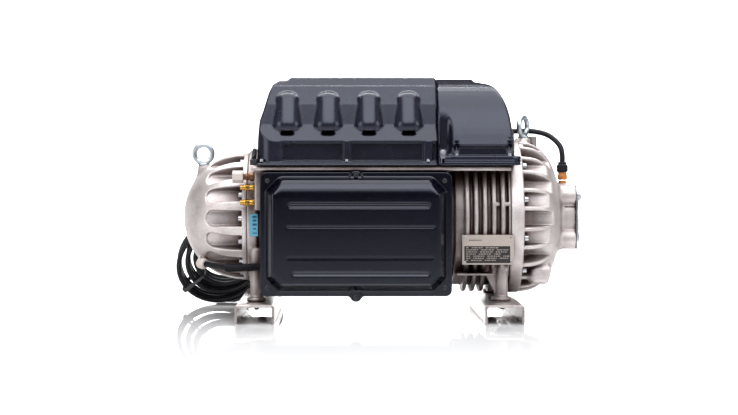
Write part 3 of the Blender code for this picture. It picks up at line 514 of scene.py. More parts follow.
def cord_curve(name, points, radius, material, resolution=6):
    curve = bpy.data.curves.new(name, "CURVE")
    curve.dimensions = "3D"
    curve.bevel_depth = radius
    curve.bevel_resolution = resolution
    curve.use_fill_caps = True
    spline = curve.splines.new("POLY")
    spline.points.add(len(points) - 1)
    for target, point in zip(spline.points, points):
        target.co = (*point, 1)
    spline.use_smooth = True
    curve.materials.append(material)
    obj = bpy.data.objects.new(name, curve)
    bpy.context.scene.collection.objects.link(obj)
    return obj


def interface_cable():
    coil = coil_points()
    route = smooth_route(LEAD_ROUTE + coil[:2], ROUTE_STEP)[:-1]
    route += coil[1:-1]
    route += smooth_route(coil[-2:] + TAIL_ROUTE, ROUTE_STEP)[1:]
    cable = cord_curve("interface_cable", route, CABLE_RADIUS - 0.0001, CABLE)
    attach(cable, [f"interface_cable_{part}" for part in ("lead", "coil", "tail")])


interface_cable()


# Castings

CAP_PITCH = math.tau / 16
CAP_FLANGE = 0.0095
CAP_POCKET = 0.0155
CAP_POCKET_END = -0.3445
DOME_PITCH = math.tau / 12
FINS = (0.163, 0.180, 0.197, 0.2145, 0.232)
EYE_LEFT = Vector((-0.357, SHAFT_Y, 0.3225))
EYE_RIGHT = Vector((0.2855, SHAFT_Y, 0.3775))
EYE_SEAT = 0.024
POCKET_SOFT = 0.004
SUCTION_BAND = 0.2715
SUCTION_BORE = (
    (0.270, 0.106), (0.300, 0.106), (0.320, 0.100), (0.336, 0.086), (0.344, 0.070), (0.350, 0.0558),
)
BARREL_PADS = (
    ((-0.251, -0.228, 0.290), (0.244, 0.150, 0.299), 0.0018, 0.004),
    ((-0.200, -0.100, 0.290), (0.080, 0.030, 0.322), 0.002, 0.003),
    ((0.120, -0.110, 0.290), (0.235, 0.030, 0.352), 0.002, 0.003),
    ((-0.229, -0.205, 0.057), (0.125, -0.150, 0.292), 0.003, 0.004),
    ((-0.246, -0.205, 0.214), (-0.228, -0.150, 0.291), 0.003, 0.003),
)


def end_cap_field(p):
    """A dome with a rounded pocket for each of its flange bolts."""
    radius, angle = polar(p)
    band = CAP_RIM - 0.013
    along = np.minimum(p[0] - band, 0) / (band - CAP_END)
    dome = (np.hypot(along, radius / 0.1265) - 1) * 0.122
    flange = drum(p, 0, AXIS, 0.127, band, CAP_RIM, 0.001)
    body = join(common(dome, p[0] - CAP_RIM, 0.001), flange, 0.002)
    body = join(body, drum(p, 2, EYE_LEFT, 0.0115, 0.255, EYE_LEFT.z - EYE_SEAT, 0.0015), 0.010)
    body = join(body, bar(p, (-0.354, -0.070, 0.1105), (-0.354, -0.098, 0.1105), 0.009), 0.006)
    out, side = folded(radius, angle, CAP_PITCH)
    pocket = np.hypot(np.minimum(p[0] - CAP_POCKET_END - CAP_POCKET, 0), side) - CAP_POCKET
    pocket = common(pocket, 0.1015 - out, 0.004)
    pocket = np.maximum(pocket, p[0] - (CAP_RIM - CAP_FLANGE))
    body = carve(body, pocket, 0.0022)
    hollow = (np.hypot(along / 0.93, radius / 0.095) - 1) * 0.092
    return np.maximum(body, -hollow)


def suction_field(p):
    """A deep dome: bolt pockets and plain pockets by turns, a lobed neck and its bosses."""
    radius, angle = polar(p)
    band = SUCTION_BAND
    along = np.clip(p[0] - band, 0, None) / 0.086
    dome = ((along**2.4 + (radius / 0.1505) ** 2.4) ** (1 / 2.4) - 1) * 0.110
    body = common(dome, DOME_RIM - p[0], 0.001)
    body = join(body, drum(p, 0, AXIS, 0.152, DOME_RIM, band + 0.001, 0.0015), 0.002)
    out, side = folded(radius, angle, DOME_PITCH)
    plain = np.maximum(np.abs(side) - 0.108 * out, 0.119 - out + 0.25 * np.clip(0.29 - p[0], 0, None))
    out, side = folded(radius, angle, DOME_PITCH, DOME_PITCH / 2)
    bolted = np.maximum(np.abs(side) - 0.095 * out, 0.132 - out)
    pocket = np.maximum(np.minimum(plain, bolted), band + 0.002 - p[0])
    body = carve(body, pocket, POCKET_SOFT)
    neck = drum(p, 0, AXIS, 0.0585, 0.330, NECK_END, 0.001)
    for k in range(4):
        turn = Matrix.Rotation(math.radians(45 + 90 * k), 3, "X")
        place = AXIS + turn @ Vector((0, PORT_BOLT * math.sqrt(2), 0))
        neck = join(neck, drum(p, 0, place, 0.0215, 0.338, NECK_END, 0.0015), 0.004)
    body = join(body, neck, 0.012)
    body = join(body, drum(p, 2, EYE_RIGHT, 0.014, 0.320, EYE_RIGHT.z - EYE_SEAT, 0.0015), 0.010)
    body = join(body, slab(p, (0.352, SHAFT_Y - 0.012, 0.240), (0.376, SHAFT_Y + 0.012, 0.262), 0.003), 0.006)
    lug = slab(p, (0.290, -0.146, 0.068), (0.334, -0.100, 0.104), 0.010)
    lug = common(lug, (p[0] - 0.334 + 0.30 * (0.104 - p[2])) / 1.04, 0.006)
    body = join(body, lug, 0.012)
    body = join(body, drum(p, 2, (0.3085, 0.000, 0), 0.0085, 0.300, 0.3610, 0.0015), 0.005)
    return np.maximum(body, np.interp(p[0], *zip(*SUCTION_BORE)) - radius)


def rib_section_field(p):
    """The finned ring between the motor's barrel and the suction dome, with its name plate pad."""
    radius, _ = polar(p)
    ring = drum(p, 0, AXIS, 0.1365, 0.140, DOME_RIM - 0.0006, 0.001)
    for place in FINS:
        ring = join(ring, drum(p, 0, AXIS, 0.1500, place - 0.0043, place + 0.0043, 0.0030), 0.005)
    ring = join(ring, drum(p, 0, AXIS, 0.1495, 0.2425, DOME_RIM - 0.0006, 0.001), 0.005)
    ring = join(ring, slab(p, (0.1545, -0.1925, 0.1115), (0.2470, -0.120, 0.1645), 0.0015), 0.003)
    ring = join(ring, slab(p, (0.142, -0.168, 0.087), (0.214, -0.110, 0.091), 0.001), 0.002)
    boss = drum(p, 1, (NOZZLE_X, 0, SHAFT_Z), 0.041, 0.080, 0.1395, 0.001)
    ring = join(ring, boss, 0.006)
    for x in (0.2215, 0.2390):
        ring = join(ring, bar(p, (x, -0.180, 0.2245), (x, -0.186, 0.2255), 0.0042), 0.002)
    for side in (-1, 1):
        ring = join(ring, post_field(p, RIGHT_POSTS[0], SHAFT_Y + side * RIGHT_POSTS[1], -1), 0.005)
    ring = np.maximum(ring, 0.1265 - radius)
    return carve(ring, drum(p, 1, (NOZZLE_X, 0, SHAFT_Z), 0.031, 0.05, 0.15, 0.0005), 0.001)


def post_field(p, x, y, web_side):
    """A foot post, its flange and the web that carries it on one side."""
    post = drum(p, 2, (x, y, 0), 0.0125, 0.0365, 0.140, 0.001)
    foot = drum(p, 2, (x, y, 0), 0.0190, 0.0365, 0.0440, 0.001)
    web = outline(p[0], p[2], [(x, 0.048), (x + web_side * 0.012, 0.048), (x + web_side * 0.040, 0.105),
                               (x + web_side * 0.040, 0.130), (x, 0.130)])
    web = np.maximum(web, np.abs(p[1] - y) - 0.004)
    return join(join(post, foot, 0.005), web, 0.003)


def barrel_field(p):
    """The motor's barrel with its deck, its service pan and its pads."""
    radius, _ = polar(p)
    body = drum(p, 0, AXIS, 0.122, -0.250, 0.1420, 0.001)
    body = join(body, drum(p, 0, AXIS, 0.132, CAP_RIM + 0.0005, -0.2430, 0.0015), 0.004)
    for low, high, edge, soft in BARREL_PADS:
        body = join(body, slab(p, low, high, edge), soft)
    body = join(body, drum(p, 1, (-0.200, 0, 0.235), 0.015, 0.040, 0.0895, 0.001), 0.006)
    for side in (-1, 1):
        body = join(body, post_field(p, LEFT_POSTS[0], SHAFT_Y + side * LEFT_POSTS[1], 1), 0.005)
    for x in (-0.16, -0.08, 0.0, 0.08):
        rib = drum(p, 0, AXIS, 0.128, x - 0.003, x + 0.003, 0.0015)
        body = join(body, np.maximum(rib, 0.03 - p[1]), 0.005)
    body = carve(body, slab(p, (-0.221, -0.215, 0.065), (0.117, -0.166, 0.279), 0.004), 0.002)
    body = np.maximum(body, 0.1063 - radius)
    return body


def castings():
    skinned("end_cap_casting", end_cap_field, *room("end_cap"), 0.0021, CAST, "cast_aluminium", ["end_cap"])
    skinned("suction_casting", suction_field, *room("suction_housing"), 0.0023, CAST, "cast_aluminium",
            ["suction_housing"])
    ribs = skinned("rib_section_casting", rib_section_field, (0.134, -0.200, 0.030), (0.252, 0.145, 0.352),
                   0.0020, CAST_SHADED, "cast_aluminium")
    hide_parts("main_housing")
    skinned("barrel_casting", barrel_field, (-0.268, -0.232, 0.030), (0.250, 0.155, 0.356),
            0.0031, CAST_SHADED, "cast_aluminium")


# Covers

SLOPE_LOW = 0.347
SLOPE_HIGH = 0.377
BAND_HIGH = 0.4186


def capacitor_side():
    front = COVER_FRONT
    points = [(front, 0.280), (front, 0.3045), (front + 0.0055, 0.3055), (front + 0.0055, SLOPE_LOW)]
    points += [(front + 0.030, SLOPE_HIGH), (front + 0.0375, BAND_HIGH)]
    points += [(front + 0.058, 0.4530), (front + 0.064, 0.4545), (front + 0.075, COVER_TOP - 0.0015)]
    points += [(front + 0.085, COVER_TOP), (0.080, COVER_TOP)]
    return points + [(0.112, 0.462), (COVER_BACK, 0.435), (COVER_BACK, 0.280)]


def capacitor_front():
    left = COVER_LEFT
    points = [(left, 0.280), (left + 0.001, 0.330), (left + 0.005, 0.385), (left + 0.012, 0.405)]
    points += [(left + 0.022, 0.440), (left + 0.030, 0.458), (left + 0.041, 0.465)]
    points += [(left + 0.058, 0.466), (left + 0.064, COVER_TOP + 0.010)]
    return points + [(COVER_SPLIT, COVER_TOP + 0.010), (COVER_SPLIT, 0.280)]


def capacitor_cover_field(p):
    """A leaning front with a round bulge before each capacitor, over a recess with two webs."""
    front = COVER_FRONT
    body = common(outline(p[1], p[2], capacitor_side()), outline(p[0], p[2], capacitor_front()), 0.006)
    corner = slab(p, (COVER_LEFT, front + 0.0055, 0.2), (COVER_SPLIT + 0.2, COVER_BACK, 0.6), 0.036)
    flange = slab(p, (COVER_LEFT, front, 0.2), (COVER_SPLIT + 0.1, COVER_BACK, 0.3050), 0.004)
    body = np.maximum(body, join(corner, flange, 0.002))
    for low, high in ((-0.193, -0.0765), (-0.0625, 0.0770), (0.0935, 0.1145)):
        recess = slab(p, (low, front - 0.02, 0.3085), (high, front + 0.0235, 0.3450), 0.0015)
        body = carve(body, recess, 0.003)
    for x in (-0.0695, 0.0852):
        body = carve(body, bar(p, (x, front - 0.004, 0.312), (x, front - 0.004, 0.352), 0.0048), 0.002)
    for x in BULGES:
        narrow = np.stack([(p[0] - x) * 0.84, p[1], p[2]])
        bulge = bar(narrow, (0, front + 0.0555, 0.4190), (0, front + 0.0375, 0.3770), 0.0243)
        body = join(body, bulge, 0.0030)
        mouth = slab(p, (x - 0.0125, front - 0.010, 0.3575), (x + 0.0125, front + 0.046, 0.3660), 0.0040)
        mouth = np.maximum(mouth, (p[1] - front - 0.046 + 1.5 * (p[2] - 0.3575)) / 1.8)
        body = carve(body, mouth, 0.0015)
    body = np.maximum(body, -body - COVER_WALL)
    body = np.maximum(body, COVER_BASE - p[2])
    return np.maximum(body, p[0] - COVER_SPLIT + 0.0002)


def mains_side():
    front = COVER_FRONT
    points = [(front, 0.280), (front, 0.3185), (front + 0.013, 0.3190), (front + 0.013, 0.3350)]
    crown = [(0, front + 0.004, 0.3370), (0, front + 0.017, 0.380), (0, front + 0.037, 0.420)]
    crown += [(0, front + 0.066, 0.4510), (0, front + 0.110, 0.4690)]
    points += [(y, z) for _, y, z in smooth_route(crown, 0.012)]
    points += [(0.080, COVER_TOP)]
    return points + [(0.112, 0.462), (COVER_BACK, 0.435), (COVER_BACK, 0.280)]


def mains_front():
    points = [(COVER_SPLIT, 0.280), (COVER_SPLIT, COVER_TOP + 0.010)]
    points += [(0.171, COVER_TOP + 0.010), (0.180, 0.464)]
    for k in range(9):
        angle = math.pi / 2 * (1 - k / 8)
        points.append((0.195 + 0.0515 * math.cos(angle), 0.352 + 0.1095 * math.sin(angle)))
    return points + [(0.2480, 0.330), (0.2480, 0.3185), (COVER_RIGHT, 0.3185), (COVER_RIGHT, 0.280)]


def mains_cover_field(p):
    """A crowned box beside a hollow strip, with an arched screw well at each foot."""
    front = COVER_FRONT
    body = common(outline(p[1], p[2], mains_side()), outline(p[0], p[2], mains_front()), 0.006)
    strip = slab(p, (0.085, front - 0.05, 0.3195), (0.1305, front + 0.026, 0.4515), 0.014)
    strip = np.maximum(strip, 0.1085 - p[0])
    body = carve(body, strip, 0.006)
    for x in (0.1395, 0.2400):
        rim = bar(p, (x, front + 0.022, 0.322), (x, front + 0.030, 0.3590), 0.0105)
        body = join(body, rim, 0.0015)
        well = bar(p, (x, front + 0.006, 0.325), (x, front + 0.020, 0.3560), 0.0068)
        body = carve(body, well, 0.0015)
    body = np.maximum(body, -body - COVER_WALL)
    body = np.maximum(body, COVER_BASE - p[2])
    return np.maximum(body, COVER_SPLIT + 0.0002 - p[0])


SERVICE_LOW_X, SERVICE_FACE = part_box("service_cover")[0].xy
SERVICE_HIGH_X, SERVICE_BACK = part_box("service_cover")[1].xy
SERVICE_LOW_Z, SERVICE_HIGH_Z = 0.051, 0.288
SERVICE_RIM = -0.2330
GROOVES = (
    (0.2245, -0.1745, 0.0830, 0.0058),
    (0.1835, -0.1805, 0.0945, 0.0030),
    (0.1255, -0.1790, 0.0905, 0.0026),
    (0.0960, -0.1680, 0.0820, 0.0045),
)


def service_cover_field(p):
    """A lid with a crowned, corner-cut panel. Four grooves stiffen it."""
    left, right = SERVICE_LOW_X + 0.011, SERVICE_HIGH_X - 0.011
    low, high = SERVICE_LOW_Z + 0.010, SERVICE_HIGH_Z - 0.011
    rim = slab(p, (SERVICE_LOW_X, SERVICE_RIM, SERVICE_LOW_Z),
               (SERVICE_HIGH_X, SERVICE_BACK + 0.03, SERVICE_HIGH_Z))
    flat = slab(p, (SERVICE_LOW_X, -1, SERVICE_LOW_Z), (SERVICE_HIGH_X, 1, SERVICE_HIGH_Z), 0.014)
    body = common(rim, flat, 0.0025)
    for z, reach in ((SERVICE_HIGH_Z - 0.009, 0.0105), (SERVICE_LOW_Z + 0.002, 0.0115)):
        body = join(body, drum(p, 1, (-0.052, 0, z), reach, -0.2365, SERVICE_BACK, 0.0015), 0.006)
    depth = SERVICE_RIM - p[1]
    sides = np.maximum(np.maximum(left - p[0], p[0] - right), low - p[2])
    corners = (np.abs(p[0] - (left + right) / 2) + np.abs(p[2] - (low + high) / 2)) * math.sqrt(0.5)
    corners -= ((right - left) / 2 + (high - low) / 2 - 0.026) * math.sqrt(0.5)
    plan = np.maximum(sides, corners)
    lean = 0.55 * np.clip(depth, 0, None)
    rise = np.clip(p[2] - (high - 0.040), 0, None) / 0.040
    crown = (np.hypot(rise, np.clip(depth, 0, None) / 0.0262) - 1) * 0.026
    face = common(plan + lean, SERVICE_FACE - p[1], 0.006)
    face = common(face, crown, 0.004)
    face = np.maximum(face, p[1] - SERVICE_BACK)
    for z, start, end, half in GROOVES:
        groove = bar(p, (start, SERVICE_FACE - 0.0012, z), (end, SERVICE_FACE - 0.0012, z), half)
        face = carve(face, groove, 0.0012)
    body = join(body, face, 0.003)
    inner = slab(p, (left - 0.004, -0.2300, low - 0.003), (right + 0.004, -0.15, high + 0.004), 0.008)
    panel = np.maximum(plan + 0.012, SERVICE_FACE + 0.009 - p[1])
    panel = np.maximum(panel, crown + 0.008)
    return np.maximum(np.maximum(body, -np.minimum(inner, panel)), p[1] - SERVICE_BACK)


def covers():
    edge = 0.004
    front, base = COVER_FRONT - edge, COVER_BASE - edge
    back, top = COVER_BACK + edge, COVER_TOP + edge
    skinned("capacitor_cover_moulding", capacitor_cover_field, (COVER_LEFT - edge, front, base),
            (COVER_SPLIT + edge, back, top), 0.0022, COVER, "black_plastic", ["capacitor_cover"])
    skinned("mains_cover_moulding", mains_cover_field, (COVER_SPLIT - edge, front, base),
            (COVER_RIGHT + edge, back, top), 0.0020, COVER, "black_plastic", ["mains_cover"])
    skinned("service_cover_moulding", service_cover_field, *room("service_cover"), 0.0018, SERVICE,
            "black_plastic", ["service_cover"])


castings()
covers()


# Fasteners

HEAD_REACH = 0.0072
HEAD_CELL = 0.00055


def hexagon(p, centre, across):
    """The flat distance to a hexagon in the first two rows of p."""
    u, v = np.abs(p[0] - centre[0]), np.abs(p[1] - centre[1])
    return np.maximum(u, 0.5 * u + 0.8660254 * v) - across / 2


def socket_screw_field(p):
    """A cap screw's head for a 1 cm wide screw, standing on z = 0, on a washer."""
    head = drum(p, 2, (0, 0, 0), 0.0050, 0, 0.0060, 0.0006)
    washer = drum(p, 2, (0, 0, 0), 0.0062, -0.0002, 0.0009, 0.0003)
    socket = np.maximum(hexagon(p, (0, 0), 0.0052), 0.0026 - p[2])
    return join(carve(head, socket, 0.0004), washer, 0.0005)


def hex_bolt_field(p):
    """A hexagon head for a 1 cm wide bolt, standing on z = 0, with a domed top and a washer."""
    head = common(hexagon(p, (0, 0), 0.0100), np.maximum(p[2] - 0.0045, -p[2]), 0.0006)
    head = common(head, np.linalg.norm(p - np.array([[0], [0], [-0.0035]]), axis=0) - 0.0092, 0.0004)
    washer = drum(p, 2, (0, 0, 0), 0.0066, -0.0002, 0.0010, 0.0003)
    return join(head, washer, 0.0004)


def nut_field(p):
    """A nut for a 1 cm wide bolt, whose end stands out of it."""
    nut = common(hexagon(p, (0, 0), 0.0100), np.maximum(p[2] - 0.0045, -p[2]), 0.0006)
    return np.minimum(nut, drum(p, 2, (0, 0, 0), 0.0030, 0, 0.0068, 0.0005))


def heads(name, field, places, material):
    """Copies of one fastener head as one piece. Each place is its seat, its direction and its width in m."""
    points, faces = net(field, (-HEAD_REACH, -HEAD_REACH, -0.001), (HEAD_REACH,) * 3, HEAD_CELL)
    all_points, all_faces = [], []
    for k, (seat, direction, width) in enumerate(places):
        turn = np.array(UP.rotation_difference(Vector(direction)).to_matrix())
        spin = np.array(Matrix.Rotation(0.7 * k, 3, "Z"))
        all_points.append(points @ (turn @ spin).T * (width / 0.010) + np.array(seat))
        all_faces.append(faces + k * len(points))
    obj = mesh_object(name, np.concatenate(all_points), np.concatenate(all_faces), material, 40)
    return attach(obj)


def round_axis(angle, radius, x):
    """A place round the shaft. The angle is in degrees from -Y towards +Z."""
    a = math.radians(angle)
    return Vector((x, SHAFT_Y - radius * math.cos(a), SHAFT_Z + radius * math.sin(a)))


def fasteners():
    cap = [(round_axis(22.5 * k, 0.1165, CAP_RIM - CAP_FLANGE), -X, 0.0120) for k in range(16)]
    dome = [(round_axis(15 + 30 * k, 0.1425, 0.2735), X, 0.0125) for k in range(12)]
    nozzle = [((NOZZLE_X + 0.050 * math.cos(a), 0.1528, SHAFT_Z + 0.050 * math.sin(a)), Y, 0.0105)
              for a in np.radians(np.arange(30, 390, 60))]
    heads("casting_screws", socket_screw_field, cap + dome + nozzle, STEEL)
    lid_z = (0.0680, 0.2710)
    lid = [((x, SERVICE_RIM, z), -Y, 0.0075) for x in (-0.2205, 0.1165) for z in lid_z]
    lid += [((-0.052, -0.2365, z), -Y, 0.0080) for z in (0.0500, 0.2815)]
    heads("service_cover_screws", socket_screw_field, lid, BLACK)
    top = [((x, COVER_FRONT + 0.0075, 0.3080), UP, 0.0070) for x in (-0.2315, -0.0695, 0.0852)]
    top += [((x, COVER_FRONT + 0.0075, 0.3188), UP, 0.0070) for x in (0.1395, 0.2400)]
    heads("top_cover_screws", socket_screw_field, top, STEEL)
    plate = Vector((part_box("suction_port_flange")[1].x - 0.0069, 0, 0))
    port = [(AXIS + plate + Vector((0, a, b)), X, 0.0150)
            for a in (-PORT_BOLT, PORT_BOLT) for b in (-PORT_BOLT, PORT_BOLT)]
    heads("suction_flange_bolts", hex_bolt_field, port, ZINC)
    rails = [((x, SHAFT_Y + side * reach, 0.0312), -UP, 0.0170)
             for x, reach in (LEFT_POSTS, RIGHT_POSTS) for side in (-1, 1)]
    heads("rail_nuts", nut_field, rails, BLACK)


# Turned, bent and hollow pieces

RAIL_WIDTH = 0.075
RAIL_WALL = 0.005
EYE_RING, EYE_WIRE = 0.0178, 0.0051
VALVES = (("upper", -0.186, 0.2575), ("lower", -0.190, 0.2290))
CHARGING_PORT = (-0.178, 0.278)
SENSOR_AT = Vector((SENSOR_X, SHAFT_Y, 0.262))
SENSOR_LEAD_ROUTE = [
    (0.2580, -0.008, 0.368),
    (0.280, -0.008, 0.3685),
    (0.308, -0.010, 0.368),
    (0.334, -0.018, 0.362),
    (0.350, -0.028, 0.351),
    (0.361, -0.038, 0.336),
    (SENSOR_X, SHAFT_Y, 0.320),
    (SENSOR_X, SHAFT_Y, 0.3045),
]
CONDUIT_ROUTE = [
    (-0.2335, -0.1860, 0.1055),
    (-0.250, -0.1845, 0.1040),
    (-0.275, -0.1770, 0.1025),
    (-0.300, -0.1620, 0.1020),
    (-0.322, -0.1440, 0.1030),
    (-0.3465, -0.1215, 0.1060),
]


def port_square(p, half, edge):
    """A square bar along the shaft, with round corners."""
    return slab(p, (0.2, SHAFT_Y - half, SHAFT_Z - half), (0.6, SHAFT_Y + half, SHAFT_Z + half), edge)


def suction_plate_field(p):
    low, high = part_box("suction_port_flange")
    thickness = np.maximum(low.x - p[0], p[0] - high.x + 0.0070)
    plate = common(port_square(p, 0.0635, 0.0215), thickness, 0.0008)
    radius, _ = polar(p)
    return carve(plate, radius - 0.0480, 0.0008)


def nozzle_field(p):
    """The discharge nozzle: a bolted flange, a neck, a pipe flange and the check valve's guide."""
    start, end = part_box("discharge_nozzle")[0].y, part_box("discharge_flange")[1].y
    at = (NOZZLE_X, 0, SHAFT_Z)
    out = np.hypot(p[0] - at[0], p[2] - at[2])
    body = drum(p, 1, at, 0.058, start, start + 0.013, 0.0012)
    body = join(body, drum(p, 1, at, 0.042, start, end, 0.0005), 0.006)
    body = join(body, drum(p, 1, at, 0.057, end - 0.015, end, 0.0012), 0.006)
    bore = np.where(p[1] < 0.156, 0.023, 0.031) - out
    body = np.maximum(body, bore)
    hub = np.maximum(drum(p, 1, at, 0.010, 0.190, 0.198, 0.0006), 0.0047 - out)
    turn = np.arctan2(p[2] - at[2], p[0] - at[0])
    reach, side = folded(out, turn, math.tau / 3, math.pi / 2)
    arms = np.maximum(np.maximum(np.abs(side) - 0.0022, np.abs(p[1] - 0.194) - 0.0034), 0.008 - reach)
    arms = np.maximum(arms, out - 0.033)
    return np.minimum(body, join(hub, arms, 0.001))


def rail_field(middle):
    """A channel bent from sheet, with a slot near each end."""
    low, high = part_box("left_rail")
    half = RAIL_WIDTH / 2

    def field(p):
        outer = slab(p, (middle - half, low.y - 0.1, -0.1), (middle + half, high.y + 0.1, high.z), 0.0058)
        half_inside = half - RAIL_WALL
        inner = slab(p, (middle - half_inside, low.y - 0.2, -0.2),
                     (middle + half_inside, high.y + 0.2, high.z - RAIL_WALL), 0.0020)
        body = common(np.maximum(outer, -inner), np.maximum(low.y - p[1], p[1] - high.y), 0.0008)
        body = common(body, -p[2], 0.0006)
        for y in (-0.215, 0.130):
            slot = bar(p, (middle - 0.012, y, high.z), (middle + 0.012, y, high.z), 0.0058)
            body = carve(body, slot, 0.0006)
        return body
    return field


def eye_field(centre, facing):
    """A lifting eye on its collar. It faces so many degrees away from -Y."""
    turn = np.array(Matrix.Rotation(-math.radians(facing), 3, "Z"))

    def field(p):
        q = turn @ (p - np.array(centre)[:, None])
        ring = np.hypot(np.hypot(q[0], q[2]) - EYE_RING, q[1]) - EYE_WIRE
        stem = drum(q, 2, (0, 0, 0), 0.0068, -0.0225, -0.0150, 0.001)
        collar = drum(q, 2, (0, 0, 0), 0.0105, -EYE_SEAT + 0.0004, -0.0196, 0.0010)
        return join(join(ring, stem, 0.008), collar, 0.002)
    return field


def eye(node, centre, facing):
    reach = Vector((0.0255,) * 3)
    skinned(f"{node}_ring", eye_field(centre, facing), centre - reach, centre + reach, 0.0011, ZINC,
            "zinc_steel", [node])


def along_x(p, start, y, z):
    """Points seen from the end of a fitting that runs towards -X: its two sides first, then along it."""
    return np.stack([p[1] - y, p[2] - z, start - p[0]])


def valve_field(start, y, z):
    """A charging valve: hexagon base, neck, hexagon body and threaded end."""
    def field(p):
        q = along_x(p, start, y, z)
        base = common(hexagon(q, (0, 0), 0.0150), np.abs(q[2] - 0.0022) - 0.0020, 0.0005)
        neck = drum(q, 2, (0, 0, 0), 0.0052, 0, 0.0120, 0.0003)
        body = common(hexagon(q, (0, 0), 0.0126), np.abs(q[2] - 0.0140) - 0.0034, 0.0005)
        wave = 0.00035 * np.cos(q[2] * math.tau / 0.0013)
        thread = drum(q, 2, (0, 0, 0), 0.0058, 0.0170, 0.0226, 0.0004) + wave
        end = drum(q, 2, (0, 0, 0), 0.0046, 0.0220, 0.0284, 0.0006)
        return np.minimum(np.minimum(np.minimum(base, neck), np.minimum(body, end)), thread)
    return field


def cap_field(start, y, z):
    """A charging port's hexagon cap."""
    def field(p):
        q = along_x(p, start, y, z)
        return common(hexagon(q, (0, 0), 0.0215), np.abs(q[2] - 0.0333) - 0.0105, 0.0015)
    return field


def cap_stem_field(start, y, z):
    """The threaded stem that carries the cap, with its nut and its ring."""
    def field(p):
        q = along_x(p, start, y, z)
        nut = common(hexagon(q, (0, 0), 0.0150), np.abs(q[2] - 0.0060) - 0.0040, 0.0006)
        wave = 0.0004 * np.cos(q[2] * math.tau / 0.0016)
        thread = drum(q, 2, (0, 0, 0), 0.0060, 0.0000, 0.0230, 0.0003) + wave
        ring = drum(q, 2, (0, 0, 0), 0.0074, 0.0140, 0.0175, 0.0005)
        return np.minimum(np.minimum(nut, thread), ring)
    return field


def fittings():
    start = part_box("charging_port_cap")[1].x
    near_cap = (start - 0.046, -0.195, 0.262), (start + 0.001, -0.160, 0.294)
    skinned("charging_cap_hexagon", cap_field(start, *CHARGING_PORT), *near_cap, 0.0009, IVORY,
            "ivory_plastic", ["charging_port_cap"])
    skinned("charging_cap_stem", cap_stem_field(start, *CHARGING_PORT), *near_cap, 0.0006, BRONZE, "brass")
    for name, y, z in VALVES:
        low, high = (start - 0.030, y - 0.010, z - 0.010), (start + 0.001, y + 0.010, z + 0.010)
        skinned(f"access_valve_{name}_body", valve_field(start, y, z), low, high, 0.0006, BRASS, "brass",
                [f"access_valve_{name}"])


def sensor_body_field(p):
    q = p - np.array([[SENSOR_X], [SHAFT_Y], [0]])
    foot = drum(q, 2, (0, 0, 0), 0.0078, 0.2624, 0.2690, 0.0006)
    hexa = common(hexagon(q, (0, 0), 0.0190), np.abs(q[2] - 0.2760) - 0.0042, 0.0008)
    shoulder = drum(q, 2, (0, 0, 0), 0.0085, 0.2700, 0.2858, 0.0010)
    return np.minimum(np.minimum(foot, hexa), shoulder)


def sensor_nut_field(p):
    q = p - np.array([[SENSOR_X], [SHAFT_Y], [0]])
    turn = np.arctan2(q[1], q[0])
    nut = drum(q, 2, (0, 0, 0), 0.0112, 0.2861, 0.3000, 0.0012) + 0.0003 * np.cos(18 * turn)
    sleeve = drum(q, 2, (0, 0, 0), 0.0085, 0.2990, 0.3062, 0.0015)
    return join(nut, sleeve, 0.002)


def gland_field(start, across, z, axis, size):
    """A cable gland along X (axis 0) or Y (axis 1): base, hexagon nut and sealing cone."""
    length = (0.0148, 0.0194)[axis]

    def field(p):
        q = np.stack([p[1 - axis] - across, p[2] - z, p[axis] - start])
        base = common(hexagon(q, (0, 0), 1.9 * size), np.abs(q[2] - 0.0030) - 0.0028, 0.0006)
        turn = np.arctan2(q[1], q[0])
        cone = drum(q, 2, (0, 0, 0), 0.92 * size, 0.0050, 0.0110, 0.0010) + 0.00025 * np.cos(16 * turn)
        end = drum(q, 2, (0, 0, 0), 0.70 * size, 0.0100, length, 0.0020)
        return join(np.minimum(base, cone), end, 0.004)
    return field


def swept(name, route, radii, material, nodes=(), sides=28):
    """A tube along a route whose radius changes from point to point."""
    count = len(route)
    points, side = [], Vector((0, 0, 1))
    for k, place in enumerate(route):
        along = (route[min(k + 1, count - 1)] - route[max(k - 1, 0)]).normalized()
        side = (side - along * side.dot(along)).normalized()
        other = along.cross(side)
        for a in np.linspace(0, math.tau, sides, endpoint=False):
            points.append(place + (side * math.cos(a) + other * math.sin(a)) * radii[k])
    faces = []
    for k in range(count - 1):
        for j in range(sides):
            after = (j + 1) % sides
            faces.append((k * sides + j, k * sides + after, (k + 1) * sides + after, (k + 1) * sides + j))
    faces = np.array(faces)
    obj = mesh_object(name, np.array([tuple(p) for p in points]), faces, material)
    return attach(obj, nodes)


def conduit():
    """Ribbed hose out of the service pan, a plain hose into the dome, and an ivory collar."""
    route = smooth_route(CONDUIT_ROUTE, 0.0006)
    radii = []
    for k, place in enumerate(route):
        ribbed = ease((place.x + 0.306) / 0.004)
        wave = 0.0070 + 0.0011 * math.cos(k * math.tau / 6)
        radii.append(0.0058 * (1 - ribbed) + wave * ribbed)
    radii[0] = radii[-1] = 0.0001
    swept("conduit_ribbed_hose", route, radii, CABLE, ["conduit_hose"])
    end, before = Vector(CONDUIT_ROUTE[-1]), Vector(CONDUIT_ROUTE[-2])
    along = (end - before).normalized()
    profile = [(0.0005, 0.0001), (0.0005, 0.0086), (0.0015, 0.0100), (0.0040, 0.0107), (0.0090, 0.0107)]
    profile += [(0.0096, 0.0098), (0.0102, 0.0098), (0.0108, 0.0107), (0.0150, 0.0105)]
    profile += [(0.0180, 0.0088), (0.0180, 0.0001)]
    line = [end + along * a for a, _ in profile]
    swept("conduit_ivory_collar", line, [r for _, r in profile], IVORY, ["conduit_collar"])


